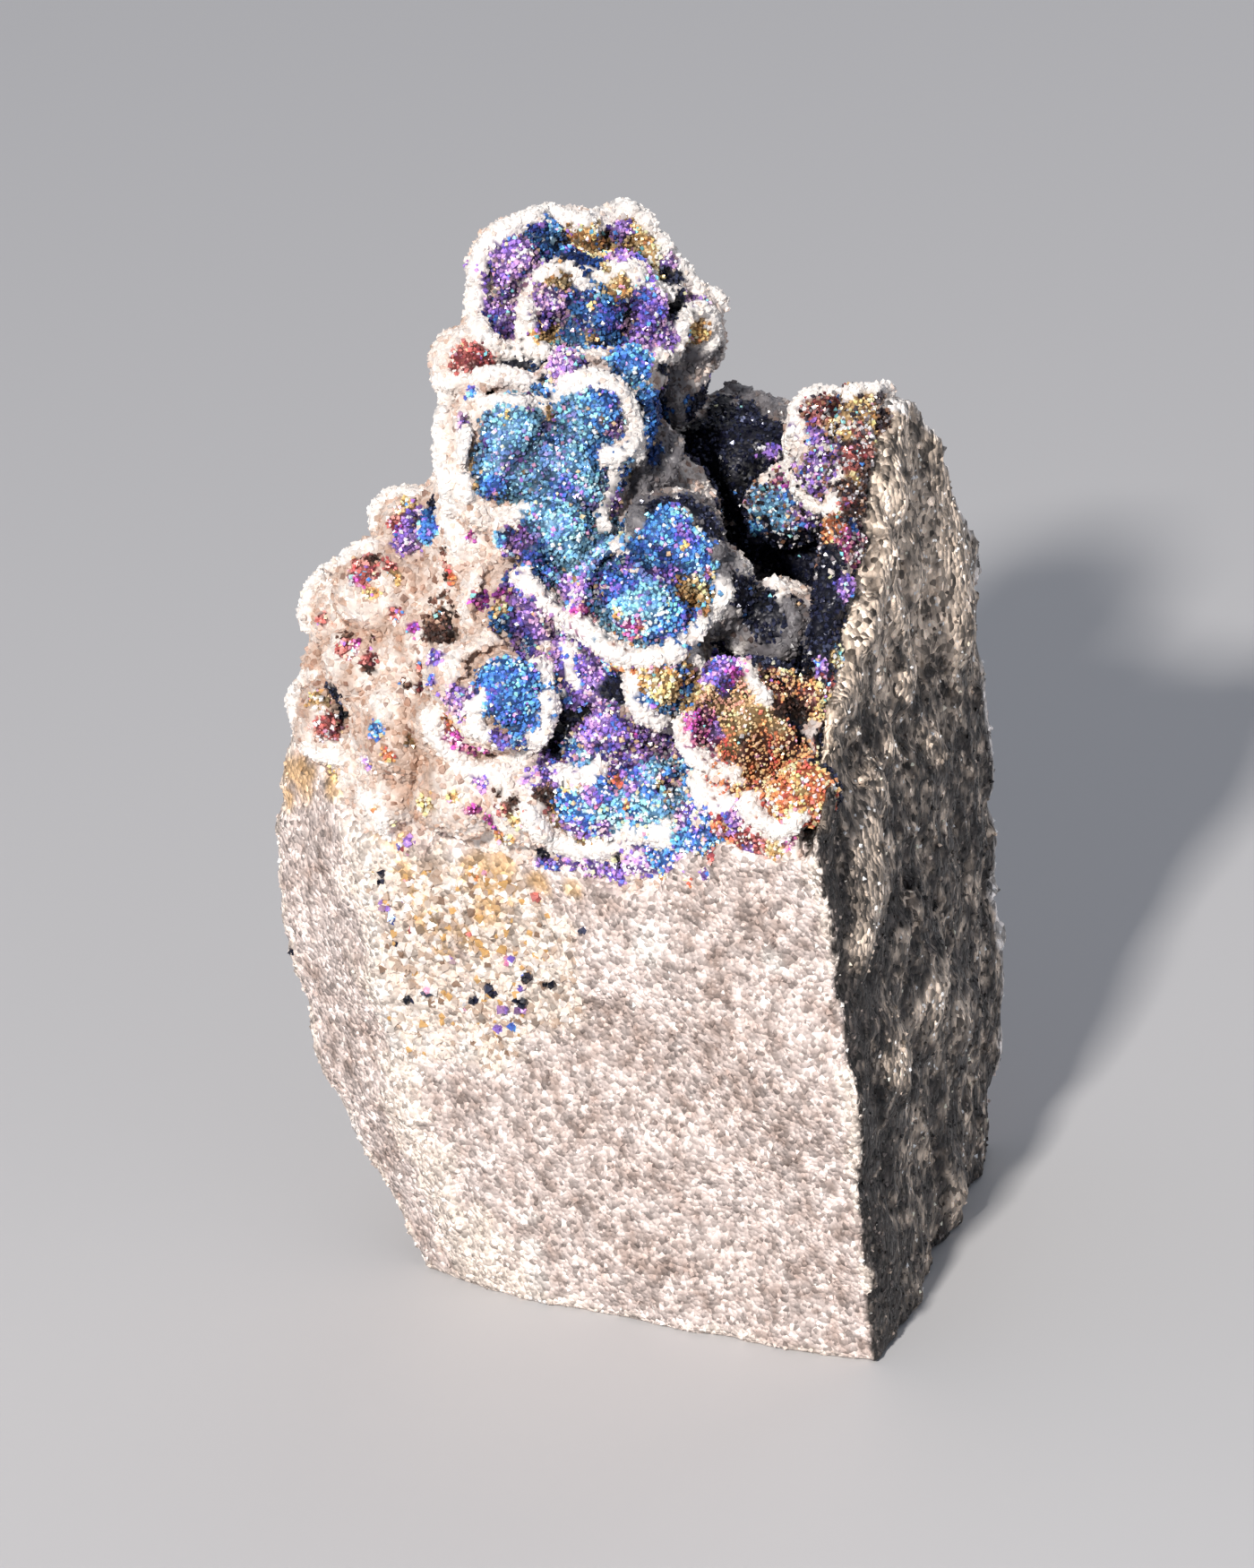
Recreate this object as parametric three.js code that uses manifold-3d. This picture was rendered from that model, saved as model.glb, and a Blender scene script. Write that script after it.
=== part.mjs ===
// A hand specimen of peacock ore: a broken block of granular host rock whose torn top carries a
// grape-like growth of tarnished ore. Each coloured cap sits in a raised rim of white quartz druse,
// which also coats the lumps that show no colour, so the growth is one grown-together solid.
//
// Millimetres, +Z up, +X to the right and +Y away from the broad front side. The layout is measured
// from the block's front right bottom corner, and the finished group is then moved so that the
// origin lies at the bottom centre of its box.

import * as THREE from "three";
import { mergeVertices } from "three/addons/utils/BufferGeometryUtils.js";
import Module from "manifold-3d";

const wasm = await Module();
wasm.setup();

// ---------------------------------------------------------------- driving dimensions

const SEAT_GAP = 0.3; // clearance between the growth and the rock that it sits on
const CRUST_THICKNESS = 1.3; // druse lining the whole torn top, under the lumps
const CRUST_INSET = 0.3; // of the lining, from the block's sides
const CREST_WIDTH = 1; // bare rock left along the right wall's crest
const RIM_HEIGHT = 1.1; // druse around the coloured caps
const BLOCK_TOP = 58; // the untrimmed block, before its top is broken away
const RING_STEP = 3.4; // spacing of the block's facets up its height
const SIDE_STEP = 3.4; // and around it
const TOP_STEP = 3; // and over the torn top

// Corners of the block at several heights, counter-clockwise from the front right corner: front
// right, back right, back, back left, left, front left.
const BLOCK_SECTIONS = [
  { z: 0, corners: [[0, 0], [8.9, 27.5], [-4, 35], [-17, 33], [-27, 18], [-22.6, 14]] },
  { z: 9, corners: [[-0.3, 0], [9.8, 29], [-4, 37.5], [-20, 36], [-30.5, 22.8], [-26, 16.2]] },
  { z: 11.5, corners: [[-0.3, 0], [10, 29.4], [-4, 38], [-20.8, 36], [-32, 23.4], [-27, 16.6]] },
  { z: 21, corners: [[-0.2, 0], [10.5, 30.5], [-5, 39.5], [-23, 37], [-33.3, 24.4], [-27.8, 17]] },
  { z: 28, corners: [[-0.5, 0], [10.5, 31], [-5.5, 40], [-24, 37.5], [-33.3, 25], [-27.8, 17.3]] },
  { z: 34, corners: [[-1.5, 0.4], [10.6, 31], [-6, 40], [-24, 37.5], [-31.4, 25.6], [-27.2, 18]] },
  { z: 45, corners: [[-1.4, 1], [10.5, 31], [-7, 39], [-22, 37], [-29, 27], [-26, 19]] },
  { z: BLOCK_TOP, corners: [[-1.2, 1.5], [9, 30], [-7, 37], [-19, 35], [-25, 28], [-23, 20]] },
];

const FACE_RELIEF = 0.45; // unevenness of the broken faces
const ROCK_SLIVER = 0.15; // edges shorter than this are merged on the rock
const GROWTH_SLIVER = 0.3; // and on the growth

// The torn top, by distance inward from the front face and from the right face.
const FRONT_NORMAL = new THREE.Vector2(0.524, 0.851);
const RIGHT_NORMAL = new THREE.Vector2(-0.96, 0.281);
const FRONT_EDGE_HEIGHT = 29.5;
const SLOPE_RISE = 1.1;
const SHOULDER_HEIGHT = 40.5;
const HOLLOW_FLOOR = 34;
const WALL_THICKNESS = 4; // of the right wall, which starts thinner at the front edge
const WALL_FRONT_THICKNESS = 1;

// The back rim's height by distance from the right face, and the right wall's crest by depth.
const BACK_RIM = [[1, 38], [8, 45.8], [13, 47], [18, 43.5], [22, 39]];
const WALL_CREST = [
  [0, 39], [9, 40.3], [14, 44.2], [18, 48.6], [22.5, 52.6], [25, 50.2], [26.5, 45.2], [29, 42],
  [31.5, 38.4], [37, 36],
];

// Lumps of the growth: [x, y, z, radius]. A rimmed lump is a coloured cap of this radius, set in a
// raised rim of druse; every other radius is the lump's whole size.
const RIMMED_CROWN = [
  [-14.9, 29, 60.2, 2.2], [-8.4, 31, 59.4, 1.8], [-12.9, 26.8, 59, 2], [-9.9, 26.8, 58.5, 1.9],
  [-11.8, 25.5, 56.8, 2.1],
];
const RIMMED_TOWER = [
  [-16.6, 20, 53.7, 2.5], [-11.6, 20, 54.5, 2.7], [-17.5, 19, 51.2, 2.2], [-13.8, 18.6, 51, 2.7],
  [-14.6, 17, 48.6, 2.4],
];
const RIMMED_FRONT = [
  [-7.6, 15.5, 47.8, 2.5], [-9.9, 13, 45.2, 2.9], [-16.9, 16, 44.2, 2.5], [-18.5, 13, 40.4, 2.5],
  [-4.2, 8.8, 38.4, 3],
];
const CROWN_LUMPS = [
  [-12.2, 31, 61, 2.5], [-16.6, 28, 57, 2.2], [-8, 28.5, 56.6, 2.8], [-9, 25.8, 54.4, 2.2],
  [-5.6, 31.2, 54, 2.4], [-18.6, 25, 56, 2.4], [-14.8, 25, 54.8, 2.6], [-7.2, 30.5, 51.5, 2.6],
];
const FRONT_LUMPS = [
  [-13, 15.5, 45.6, 2.8], [-6, 15, 44.6, 2.9], [-9.4, 22.5, 50.4, 2.6], [-14, 14.4, 42.4, 2.6],
  [-9.4, 12, 41, 2.9], [-21.4, 14.4, 38, 2.5], [-11.8, 13, 37.6, 3.2], [-1.9, 15.5, 41.4, 3],
];
const FLOOR_LUMPS = [
  [-13.4, 11, 34, 3], [-9.9, 9.8, 34, 3], [-6.8, 7.8, 33.4, 2.6], [-2.4, 5.4, 35.4, 2.5],
  [-4.6, 5, 32.8, 1.9], [-10.8, 8.8, 31, 1.9], [-1.4, 3.4, 36.4, 1.9],
];
const HOLLOW_LUMPS = [[-3, 31, 45.3, 3.2], [-0.6, 26.4, 44.6, 2.5]];
const PEAK_LUMPS = [[1.7, 23.6, 51, 2.1], [4.2, 23.2, 51.6, 2.5], [2, 21.6, 48.6, 2.3]];
const LEFT_LUMPS = [
  [-21.8, 24.5, 45.6, 2.8], [-23.6, 22.6, 43, 3.6], [-27, 25, 40.6, 2.7], [-21.6, 19.4, 41.6, 3.2],
  [-25.8, 21.6, 38.6, 3.2], [-28.2, 23.2, 34.8, 3], [-24, 18.4, 36.2, 3.6], [-25, 17.8, 33, 2.6],
  [-21, 14.4, 33.8, 3], [-17.4, 12.4, 33.6, 2.9],
];
const BACK_LUMPS = [
  [-12.4, 33, 56.6, 4], [-8.4, 33, 52.4, 3.8], [-15.8, 31.4, 51.4, 4.4], [-12, 34, 48, 4.6],
  [-19, 30.4, 43.6, 4],
];
const CORE_LUMPS = [
  [-11.6, 29.5, 56, 4.4], [-13.4, 25, 51, 5.6], [-17, 22.6, 46, 5.8], [-12, 20, 44, 6],
  [-22, 23, 38.6, 5.6], [-9.6, 25, 45, 5], [-12, 16, 39, 5.6],
];

const RIMMED = [...RIMMED_CROWN, ...RIMMED_TOWER, ...RIMMED_FRONT];
const WHOLE = [CROWN_LUMPS, FRONT_LUMPS, FLOOR_LUMPS, HOLLOW_LUMPS, PEAK_LUMPS, LEFT_LUMPS]
  .concat([BACK_LUMPS, CORE_LUMPS])
  .flat();

// Coloured caps face outward from the front slope and a little up.
const CAP_DIRECTION = new THREE.Vector3(0.05, -0.88, 0.46).normalize();
const WINDOW_REACH = 0.8; // how far along the cap direction a window's centre lies, in radii
const WINDOW_RADIUS = 1.2; // of a window's corners, in radii of its lump
const SMALL_LUMP = 2.15; // lumps below this radius have 20 facets, the others 80

// ---------------------------------------------------------------- helpers

const mix = THREE.MathUtils.lerp;
const ramp = THREE.MathUtils.smoothstep;

// Repeatable noise from -1 to 1 on a smooth lattice.
function lattice(i, j, k) {
  const s = Math.sin(i * 127.1 + j * 311.7 + k * 74.7) * 43758.5453;
  return 2 * (s - Math.floor(s)) - 1;
}

function noise(x, y, z) {
  const [i, j, k] = [x, y, z].map(Math.floor);
  const [u, v, w] = [x - i, y - j, z - k].map((t) => t * t * (3 - 2 * t));
  const edge = (dj, dk) => mix(lattice(i, j + dj, k + dk), lattice(i + 1, j + dj, k + dk), u);
  return mix(mix(edge(0, 0), edge(1, 0), v), mix(edge(0, 1), edge(1, 1), v), w);
}

function solid(geometry) {
  const bare = geometry.index ? geometry.toNonIndexed() : geometry.clone();
  bare.deleteAttribute("normal");
  bare.deleteAttribute("uv");
  const merged = mergeVertices(bare, 1e-4);
  return new wasm.Manifold(
    new wasm.Mesh({
      numProp: 3,
      vertProperties: merged.attributes.position.array,
      triVerts: new Uint32Array(merged.index.array),
    }),
  );
}

function union(solids) {
  return wasm.Manifold.union(solids);
}

function geometryOf(manifold) {
  const mesh = manifold.getMesh();
  return new THREE.BufferGeometry()
    .setAttribute("position", new THREE.BufferAttribute(mesh.vertProperties, 3))
    .setIndex(new THREE.BufferAttribute(mesh.triVerts, 1));
}

// The main body of a cut solid, without the crumbs and slivers that the cuts leave.
function tidy(manifold, sliver) {
  const bodies = manifold.simplify(sliver).decompose();
  return bodies.reduce((a, b) => (b.volume() > a.volume() ? b : a));
}

// A closed solid from rings of points of equal count, with flat ends.
function loft(rings) {
  const count = rings[0].length;
  const positions = rings.flat().flatMap((p) => [p.x, p.y, p.z]);
  const index = [];
  for (let r = 0; r + 1 < rings.length; r++) {
    for (let i = 0; i < count; i++) {
      const [a, b] = [r * count + i, r * count + ((i + 1) % count)];
      index.push(a, b, b + count, a, b + count, a + count);
    }
  }
  for (const [ring, facing] of [[0, -1], [rings.length - 1, 1]]) {
    const outline = rings[ring].map((p) => new THREE.Vector2(p.x, p.y));
    for (const [a, b, c] of THREE.ShapeUtils.triangulateShape(outline, [])) {
      const [p, q, s] = [a, b, c].map((v) => v + ring * count);
      index.push(...(facing > 0 ? [p, q, s] : [p, s, q]));
    }
  }
  return solid(
    new THREE.BufferGeometry()
      .setAttribute("position", new THREE.Float32BufferAttribute(positions, 3))
      .setIndex(index),
  );
}

// ---------------------------------------------------------------- the host rock

function cornersAt(z) {
  const above = Math.max(1, BLOCK_SECTIONS.findIndex((s) => s.z >= z));
  const [low, high] = [BLOCK_SECTIONS[above - 1], BLOCK_SECTIONS[above]];
  const t = (z - low.z) / (high.z - low.z);
  return low.corners.map(
    (c, i) => new THREE.Vector2(...c).lerp(new THREE.Vector2(...high.corners[i]), t),
  );
}

// One level ring of the block: straight sides between the corners, roughened, moved out by grow.
function blockRing(z, grow) {
  const corners = cornersAt(z);
  const widest = cornersAt(BLOCK_SECTIONS[2].z);
  return corners.flatMap((corner, i) => {
    const next = corners[(i + 1) % corners.length];
    const steps = Math.round(widest[i].distanceTo(widest[(i + 1) % corners.length]) / SIDE_STEP);
    const out = new THREE.Vector2(next.y - corner.y, corner.x - next.x).normalize();
    return Array.from({ length: steps }, (_, n) => {
      const p = corner.clone().lerp(next, n / steps);
      const rough = n === 0 ? 0.5 : 1;
      const relief =
        FACE_RELIEF * rough * (noise(p.x / 7, p.y / 7, z / 9) + 0.6 * noise(p.x / 3, p.y / 3, z / 4));
      p.addScaledVector(out, relief + grow);
      return new THREE.Vector3(p.x, p.y, z);
    });
  });
}

function block(grow) {
  const levels = Math.round(BLOCK_TOP / RING_STEP);
  const rings = Array.from({ length: levels + 1 }, (_, n) => {
    return blockRing((n * BLOCK_TOP) / levels, grow);
  });
  return loft(rings);
}

// Value of a profile of [position, value] pairs, straight between them.
function along(profile, t) {
  const next = profile.findIndex((p) => p[0] > t);
  if (next < 1) return next === 0 ? profile[0][1] : profile.at(-1)[1];
  const [a, b] = [profile[next - 1], profile[next]];
  return mix(a[1], b[1], (t - a[0]) / (b[0] - a[0]));
}

// Height of the torn top over the plan.
function tornTop(x, y) {
  const plan = new THREE.Vector2(x, y);
  const inward = Math.max(plan.dot(FRONT_NORMAL), 0);
  const fromRight = plan.dot(RIGHT_NORMAL);
  const slope = Math.min(FRONT_EDGE_HEIGHT + SLOPE_RISE * inward, SHOULDER_HEIGHT);
  const lip = FRONT_EDGE_HEIGHT + 3.5 + 0.8 * Math.min(inward, 4);
  const hollow = mix(lip, HOLLOW_FLOOR, ramp(inward, 6, 9));
  const front = mix(hollow, slope, ramp(fromRight, 9, 13));
  const rim = along(BACK_RIM, fromRight);
  const ground = Math.max(front, mix(FRONT_EDGE_HEIGHT - 3, rim, ramp(inward, 20, 24)));
  const wall = along(WALL_CREST, y);
  const thickness = mix(WALL_FRONT_THICKNESS, WALL_THICKNESS, ramp(y, 3, 12));
  const height = mix(wall, ground, ramp(fromRight, thickness - 1, thickness + 1));
  return height + 0.7 * noise(x / 3.1, y / 3.1, 4);
}

// Everything above the torn top, lifted by grow, as a solid to cut away.
function brokenAway(grow) {
  const [left, right, front, back] = [-38, 16, -6, 45];
  const [cell, lid] = [TOP_STEP, BLOCK_TOP + 12];
  const [nx, ny] = [(right - left) / cell, (back - front) / cell].map(Math.round);
  const sheet = new THREE.BoxGeometry(right - left, back - front, 1, nx, ny, 1);
  sheet.translate((left + right) / 2, (front + back) / 2, 0);
  const position = sheet.attributes.position;
  for (let i = 0; i < position.count; i++) {
    const [x, y, z] = [position.getX(i), position.getY(i), position.getZ(i)];
    position.setZ(i, z < 0 ? tornTop(x, y) + grow : lid);
  }
  return solid(sheet);
}

function hostRock(grow) {
  return block(grow).subtract(brokenAway(grow));
}

// ---------------------------------------------------------------- the growth

// A faceted ball with its own turn, so that no two lumps line up.
function lump([x, y, z, radius], grow, index, detail = radius + grow < SMALL_LUMP ? 0 : 1) {
  const ball = new THREE.IcosahedronGeometry(radius + grow, detail);
  ball.rotateX(index * 1.3);
  ball.rotateZ(index * 2.1);
  ball.translate(x, y, z);
  return solid(ball);
}

function lumps(list, grow) {
  return union(list.map((l, i) => lump(l, grow, i)));
}

// The openings in the rims, through which the coloured caps show.
function windows() {
  return union(
    RIMMED.map(([x, y, z, radius], i) => {
      const centre = new THREE.Vector3(x, y, z).addScaledVector(CAP_DIRECTION, radius * WINDOW_REACH);
      return lump([...centre.toArray(), radius * WINDOW_RADIUS], 0, i, 0);
    }),
  );
}

// The druse that lines the torn top, short of the block's sides and of the right wall's crest.
function lining() {
  const inset = block(-CRUST_INSET);
  const clear = RIGHT_NORMAL.clone().multiplyScalar(CREST_WIDTH);
  return inset
    .intersect(inset.translate([clear.x, clear.y, 0]))
    .subtract(brokenAway(SEAT_GAP + CRUST_THICKNESS));
}

// The rims with their windows cut, and the coloured caps showing in them.
function oreGrowth(rock) {
  const rims = union([lumps(RIMMED, RIM_HEIGHT), lumps(WHOLE, 0), lining()]).subtract(windows());
  return tidy(rims.add(lumps(RIMMED, 0)).subtract(rock), GROWTH_SLIVER);
}

// ---------------------------------------------------------------- the specimen

function part(name, manifold, colour, roughness, metalness) {
  const material = new THREE.MeshStandardMaterial({ color: colour, roughness, metalness });
  const mesh = new THREE.Mesh(geometryOf(manifold), material);
  mesh.name = name;
  return mesh;
}

const specimen = new THREE.Group();
specimen.add(
  part("host_rock", tidy(hostRock(0), ROCK_SLIVER), 0xa89a8e, 0.9, 0),
  part("ore_growth", oreGrowth(hostRock(SEAT_GAP)), 0x4a5aa4, 0.4, 0.6),
);

const box = new THREE.Box3().setFromObject(specimen);
const centre = box.getCenter(new THREE.Vector3());
specimen.position.set(-centre.x, -centre.y, -box.min.z);

export default specimen;
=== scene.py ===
"""Looks of a hand specimen of peacock ore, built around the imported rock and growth.

The rock and the growth are meshed finely from distance fields that repeat the part's own layout, in
millimetres from the block's front right bottom corner. Grains of quartz and small tarnished crystals are
then set on them as joined meshes, and every surface gets a procedural material. Small forms and colours
are placed as the camera sees them, by points of its picture, and carried along its lines of sight onto
the surface.
"""

import math

import bpy
import numpy as np
import openvdb
from mathutils import Matrix, Vector


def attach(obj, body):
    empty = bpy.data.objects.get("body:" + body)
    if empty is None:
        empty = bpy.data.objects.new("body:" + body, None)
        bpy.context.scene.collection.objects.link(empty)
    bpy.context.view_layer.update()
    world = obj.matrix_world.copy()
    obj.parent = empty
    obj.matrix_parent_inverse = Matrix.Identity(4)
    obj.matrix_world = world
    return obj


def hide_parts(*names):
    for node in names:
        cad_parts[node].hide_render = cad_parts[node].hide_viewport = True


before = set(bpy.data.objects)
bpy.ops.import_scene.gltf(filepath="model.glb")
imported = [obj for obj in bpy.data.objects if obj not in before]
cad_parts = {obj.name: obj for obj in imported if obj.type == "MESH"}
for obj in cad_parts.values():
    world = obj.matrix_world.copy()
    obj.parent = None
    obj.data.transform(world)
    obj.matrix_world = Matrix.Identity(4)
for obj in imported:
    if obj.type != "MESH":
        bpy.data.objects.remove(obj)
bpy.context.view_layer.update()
scene = bpy.context.scene

# ---------------------------------------------------------------- camera and light

TARGET = Vector((-0.000366, -0.004975, 0.03266))
ELEVATION = math.radians(25)
BACK = Vector((0, -math.cos(ELEVATION), math.sin(ELEVATION)))
ROLL = math.radians(5.5)
DISTANCE = 0.49206
LENS, SENSOR = 191.3, 36
PICTURE = (1400, 1750)
PER_MM = 18.9  # pixels of the picture to a millimetre of the specimen


def placed(name, data):
    """A new object in the scene."""
    obj = bpy.data.objects.new(name, data)
    scene.collection.objects.link(obj)
    return obj


camera = placed("camera", bpy.data.cameras.new("camera"))
scene.camera = camera
camera.data.sensor_width = SENSOR
camera.data.lens = LENS
camera.data.clip_start, camera.data.clip_end = 0.01, 10
camera.rotation_mode = "QUATERNION"
camera.location = TARGET + BACK * DISTANCE
level = (-BACK).to_track_quat("-Z", "Y")
camera.rotation_quaternion = level @ Matrix.Rotation(-ROLL, 3, "Z").to_quaternion()

scene.view_settings.view_transform = "Standard"


def lamp(name, towards, distance, size, watts, colour):
    """A square area light in a direction from the specimen, facing it."""
    light = placed(name, bpy.data.lights.new(name, "AREA"))
    light.data.size = size
    light.data.energy = watts
    light.data.color = colour
    way = Vector(towards).normalized()
    light.location = TARGET + way * distance
    light.rotation_mode = "QUATERNION"
    light.rotation_quaternion = way.to_track_quat("Z", "Y")


lamp("key", (-0.34, -0.87, 0.68), 0.8, 0.06, 7.4, (1, 0.95, 0.9))
lamp("fill", (0.7, -0.9, 0.7), 1.0, 0.8, 0.5, (0.85, 0.92, 1))
lamp("back_fill", (0.5, 0.9, 0.8), 1.0, 0.8, 1.5, (1, 0.97, 0.94))

world = bpy.data.worlds.new("world")
scene.world = world
world.use_nodes = True
sky = world.node_tree.nodes["Background"].inputs
sky["Color"].default_value = (0.8, 0.86, 1, 1)
sky["Strength"].default_value = 0.3

# ---------------------------------------------------------------- the layout, in millimetres

# From the layout to the frame's origin, the blocks of space that hold the rock and the growth, and the
# pitch at which each is meshed.
OFFSET = np.array([11.3237, -19.9747, 0.0])
ROCK_BLOCK = (-34.6, -1.2, -1.05), (11.8, 41.2, 54)
GROWTH_BLOCK = (-33, -1, 27.5), (11.8, 41, 65.5)
ROCK_PITCH, GROWTH_PITCH = 0.35, 0.33

# The untrimmed block: a height, and the six corners of its outline there.
SECTIONS = [
    (0, [(0, 0), (8.9, 27.5), (-4, 35), (-17, 33), (-27, 18), (-22.6, 14)]),
    (9, [(-0.3, 0), (9.8, 29), (-4, 37.5), (-20, 36), (-30.5, 22.8), (-26, 16.2)]),
    (11.5, [(-0.3, 0), (10, 29.4), (-4, 38), (-20.8, 36), (-32, 23.4), (-27, 16.6)]),
    (21, [(-0.2, 0), (10.5, 30.5), (-5, 39.5), (-23, 37), (-33.3, 24.4), (-27.8, 17)]),
    (28, [(-0.5, 0), (10.5, 31), (-5.5, 40), (-24, 37.5), (-33.3, 25), (-27.8, 17.3)]),
    (34, [(-1.5, 0.4), (10.6, 31), (-6, 40), (-24, 37.5), (-31.4, 25.6), (-27.2, 18)]),
    (45, [(-1.4, 1), (10.5, 31), (-7, 39), (-22, 37), (-29, 27), (-26, 19)]),
    (58, [(-1.2, 1.5), (9, 30), (-7, 37), (-19, 35), (-25, 28), (-23, 20)]),
]
RIGHT_FACE, LEFT_FACET, FRONT_FACE = 0, 4, 5

# The torn top: the slope from the front edge to the shoulder, the hollow, and the profiles of the back
# rim and of the right wall.
FRONT_NORMAL = np.array([0.524, 0.851])
RIGHT_NORMAL = np.array([-0.96, 0.281])
FRONT_EDGE_HEIGHT = 29.5
SLOPE_RISE = 1.1
SHOULDER_HEIGHT = 40.5
HOLLOW_FLOOR = 34
WALL_THICKNESS, WALL_FRONT_THICKNESS = 4, 1

# The hollow's lip: its rise over the front edge, its slope and where that ends. Then where one form
# passes into the next: the lip into the hollow and the hollow into the back rim, as distances from the
# front edge, the hollow into the slope, from the right face, and the wall's thickening along y.
LIP_RISE, LIP_SLOPE, LIP_END = 3.5, 0.8, 4
HOLLOW_BRINK, RIM_FOOT, HOLLOW_SIDE, WALL_THICKENING = (6, 9), (20, 24), (9, 13), (3, 12)
BACK_RIM = [(1, 38), (8, 45.8), (13, 47), (18, 43.5), (22, 39)]
WALL_CREST = [
    (0, 39), (9, 40.3), (14, 44.2), (18, 48.6), (22.5, 52.6), (25, 50.2), (26.5, 45.2),
    (29, 42), (31.5, 38.4), (37, 36),
]

SEAT_GAP = 0.3  # between the growth and the rock that it sits on
CRUST = 1.3  # druse lining the whole torn top, under the lumps
CRUST_INSET = 0.3  # of the lining, from the block's sides
CREST_WIDTH = 1  # bare rock left along the right wall's crest
RIM_HEIGHT = 1.1  # druse around the coloured caps

# Lumps of the growth: x, y, z, radius. A rimmed lump is a coloured cap set in a raised rim, and an
# open one has lost its rim.
RIMMED = [
    (-14.9, 29, 60.2, 2.2), (-9.3, 31, 59.3, 1.6), (-12.9, 26.8, 59, 2), (-9.9, 26.8, 58.5, 1.9),
    (-11.8, 25.5, 56.8, 2.1),
    (-16.6, 20, 53.7, 2.5), (-11.6, 20, 54.5, 2.7), (-17.5, 19, 51.2, 2.2),
    (-13.8, 18.6, 51, 2.7), (-14.6, 17, 48.6, 2.4),
    (-9.9, 13, 45.2, 2.9), (-16.9, 16, 44.2, 2.5), (-18.5, 13, 40.4, 2.5), (-4.2, 8.8, 38.4, 3),
]
OPEN = [(-7.6, 15.5, 47.8, 2.7)]
WHOLE = [
    (-12.2, 31, 60.5, 2.5), (-16.6, 28, 57, 2.2), (-8, 28.5, 56.6, 2.8), (-9, 25.8, 54.4, 2.2),
    (-6.8, 30, 58.2, 1.6), (-4.9, 30, 56, 1.4),
    (-5.6, 31.2, 54, 2.4), (-18.6, 25, 56, 2.4), (-14.8, 25, 54.8, 2.6), (-7.2, 30.5, 51.5, 2.6),
    (-13, 15.5, 45.6, 2.8), (-6, 15, 44.6, 2.9), (-9.4, 22.5, 50.4, 2.6), (-14, 14.4, 42.4, 2.6),
    (-9.4, 12, 41, 2.9), (-21.4, 14.4, 38, 2.5), (-11.8, 13, 37.6, 3.2), (-1.9, 15.5, 41.4, 3),
    (-13.4, 11, 34, 3), (-9.9, 9.8, 34, 3), (-6.8, 7.8, 33.4, 2.6), (-2.4, 5.4, 35.4, 2.5),
    (-4.6, 5, 32.8, 1.9), (-10.8, 8.8, 31, 1.9), (-1.4, 3.4, 36.4, 1.9),
    (-3, 31, 45.3, 3.2), (-0.6, 26.4, 44.6, 2.5),
    (1.7, 23.6, 50.4, 2.1), (4.2, 23.2, 50.3, 2.5), (2, 21.6, 48.6, 2.3),
    (-22.3, 24.5, 45.7, 3), (-23.6, 22.6, 43, 3.6), (-27, 25, 40.6, 2.7),
    (-21.6, 19.4, 41.6, 3.2), (-25.8, 21.6, 38.6, 3.2), (-28.2, 23.2, 34.8, 3),
    (-24, 18.4, 36.2, 3.6), (-25, 17.8, 33, 2.6), (-21, 14.4, 33.8, 3), (-17.4, 12.4, 33.6, 2.9),
    (-12.4, 33, 56.6, 4), (-8.4, 33, 52.4, 3.8), (-15.8, 31.4, 51.4, 4.4), (-12, 34, 48, 4.6),
    (-19, 30.4, 43.6, 4),
    (-11.6, 29.5, 56, 4.4), (-13.4, 25, 51, 5.6), (-17, 22.6, 46, 5.8), (-12, 20, 44, 6),
    (-22, 23, 38.6, 5.6), (-9.6, 25, 45, 5), (-12, 16, 39, 5.6),
]
CAP_DIRECTION = np.array([0.05, -0.88, 0.46])
WINDOW_REACH = 0.8  # how far along the cap direction a window's centre lies, in radii
WINDOW_RADIUS = 1.13

# The inside of the hollow behind the growth, inked near black as painted shadow over the crust's own
# dark tarnish, the fan of fibres at the front right, and the peak of the wall behind it: x, y, z, radius.
HOLLOW = [
    (-4.4, 29.2, 47.5, 3), (-3.1, 27.9, 44.4, 1.8), (-0.4, 26, 39.7, 4.5), (0, 18, 38, 5),
    (-4, 24, 41, 5), (0.5, 13, 38, 4), (3.5, 20, 42, 4),
]
FAN = (-3.4, 6.4, 38.6, 4.4)
PEAK = (3.4, 21, 48, 8)

# Where looks change: the height up to which the front's lumps are motley, where along y the wall's
# coloured inner face ends, its pale crest and the painted highlight of its far edge start and the unseen
# back starts, and how far to the left the druse begins to blush and blushes in full, in the open and in
# the painted shade of its crevices.
MOTLEY_TOP = 39
WALL_FACE_END, CREST_START, FAR_EDGE_START, BACK_START = 19, 22, 24, 27
WALL_FACE_DEPTH = 2.4
BLUSHING, SHADE_BLUSHING = (20.3, 23), (15, 19)

# ---------------------------------------------------------------- places in the picture

# All of these are in pixels of the picture, from its top left corner. A mark is x, y and radius.

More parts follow.
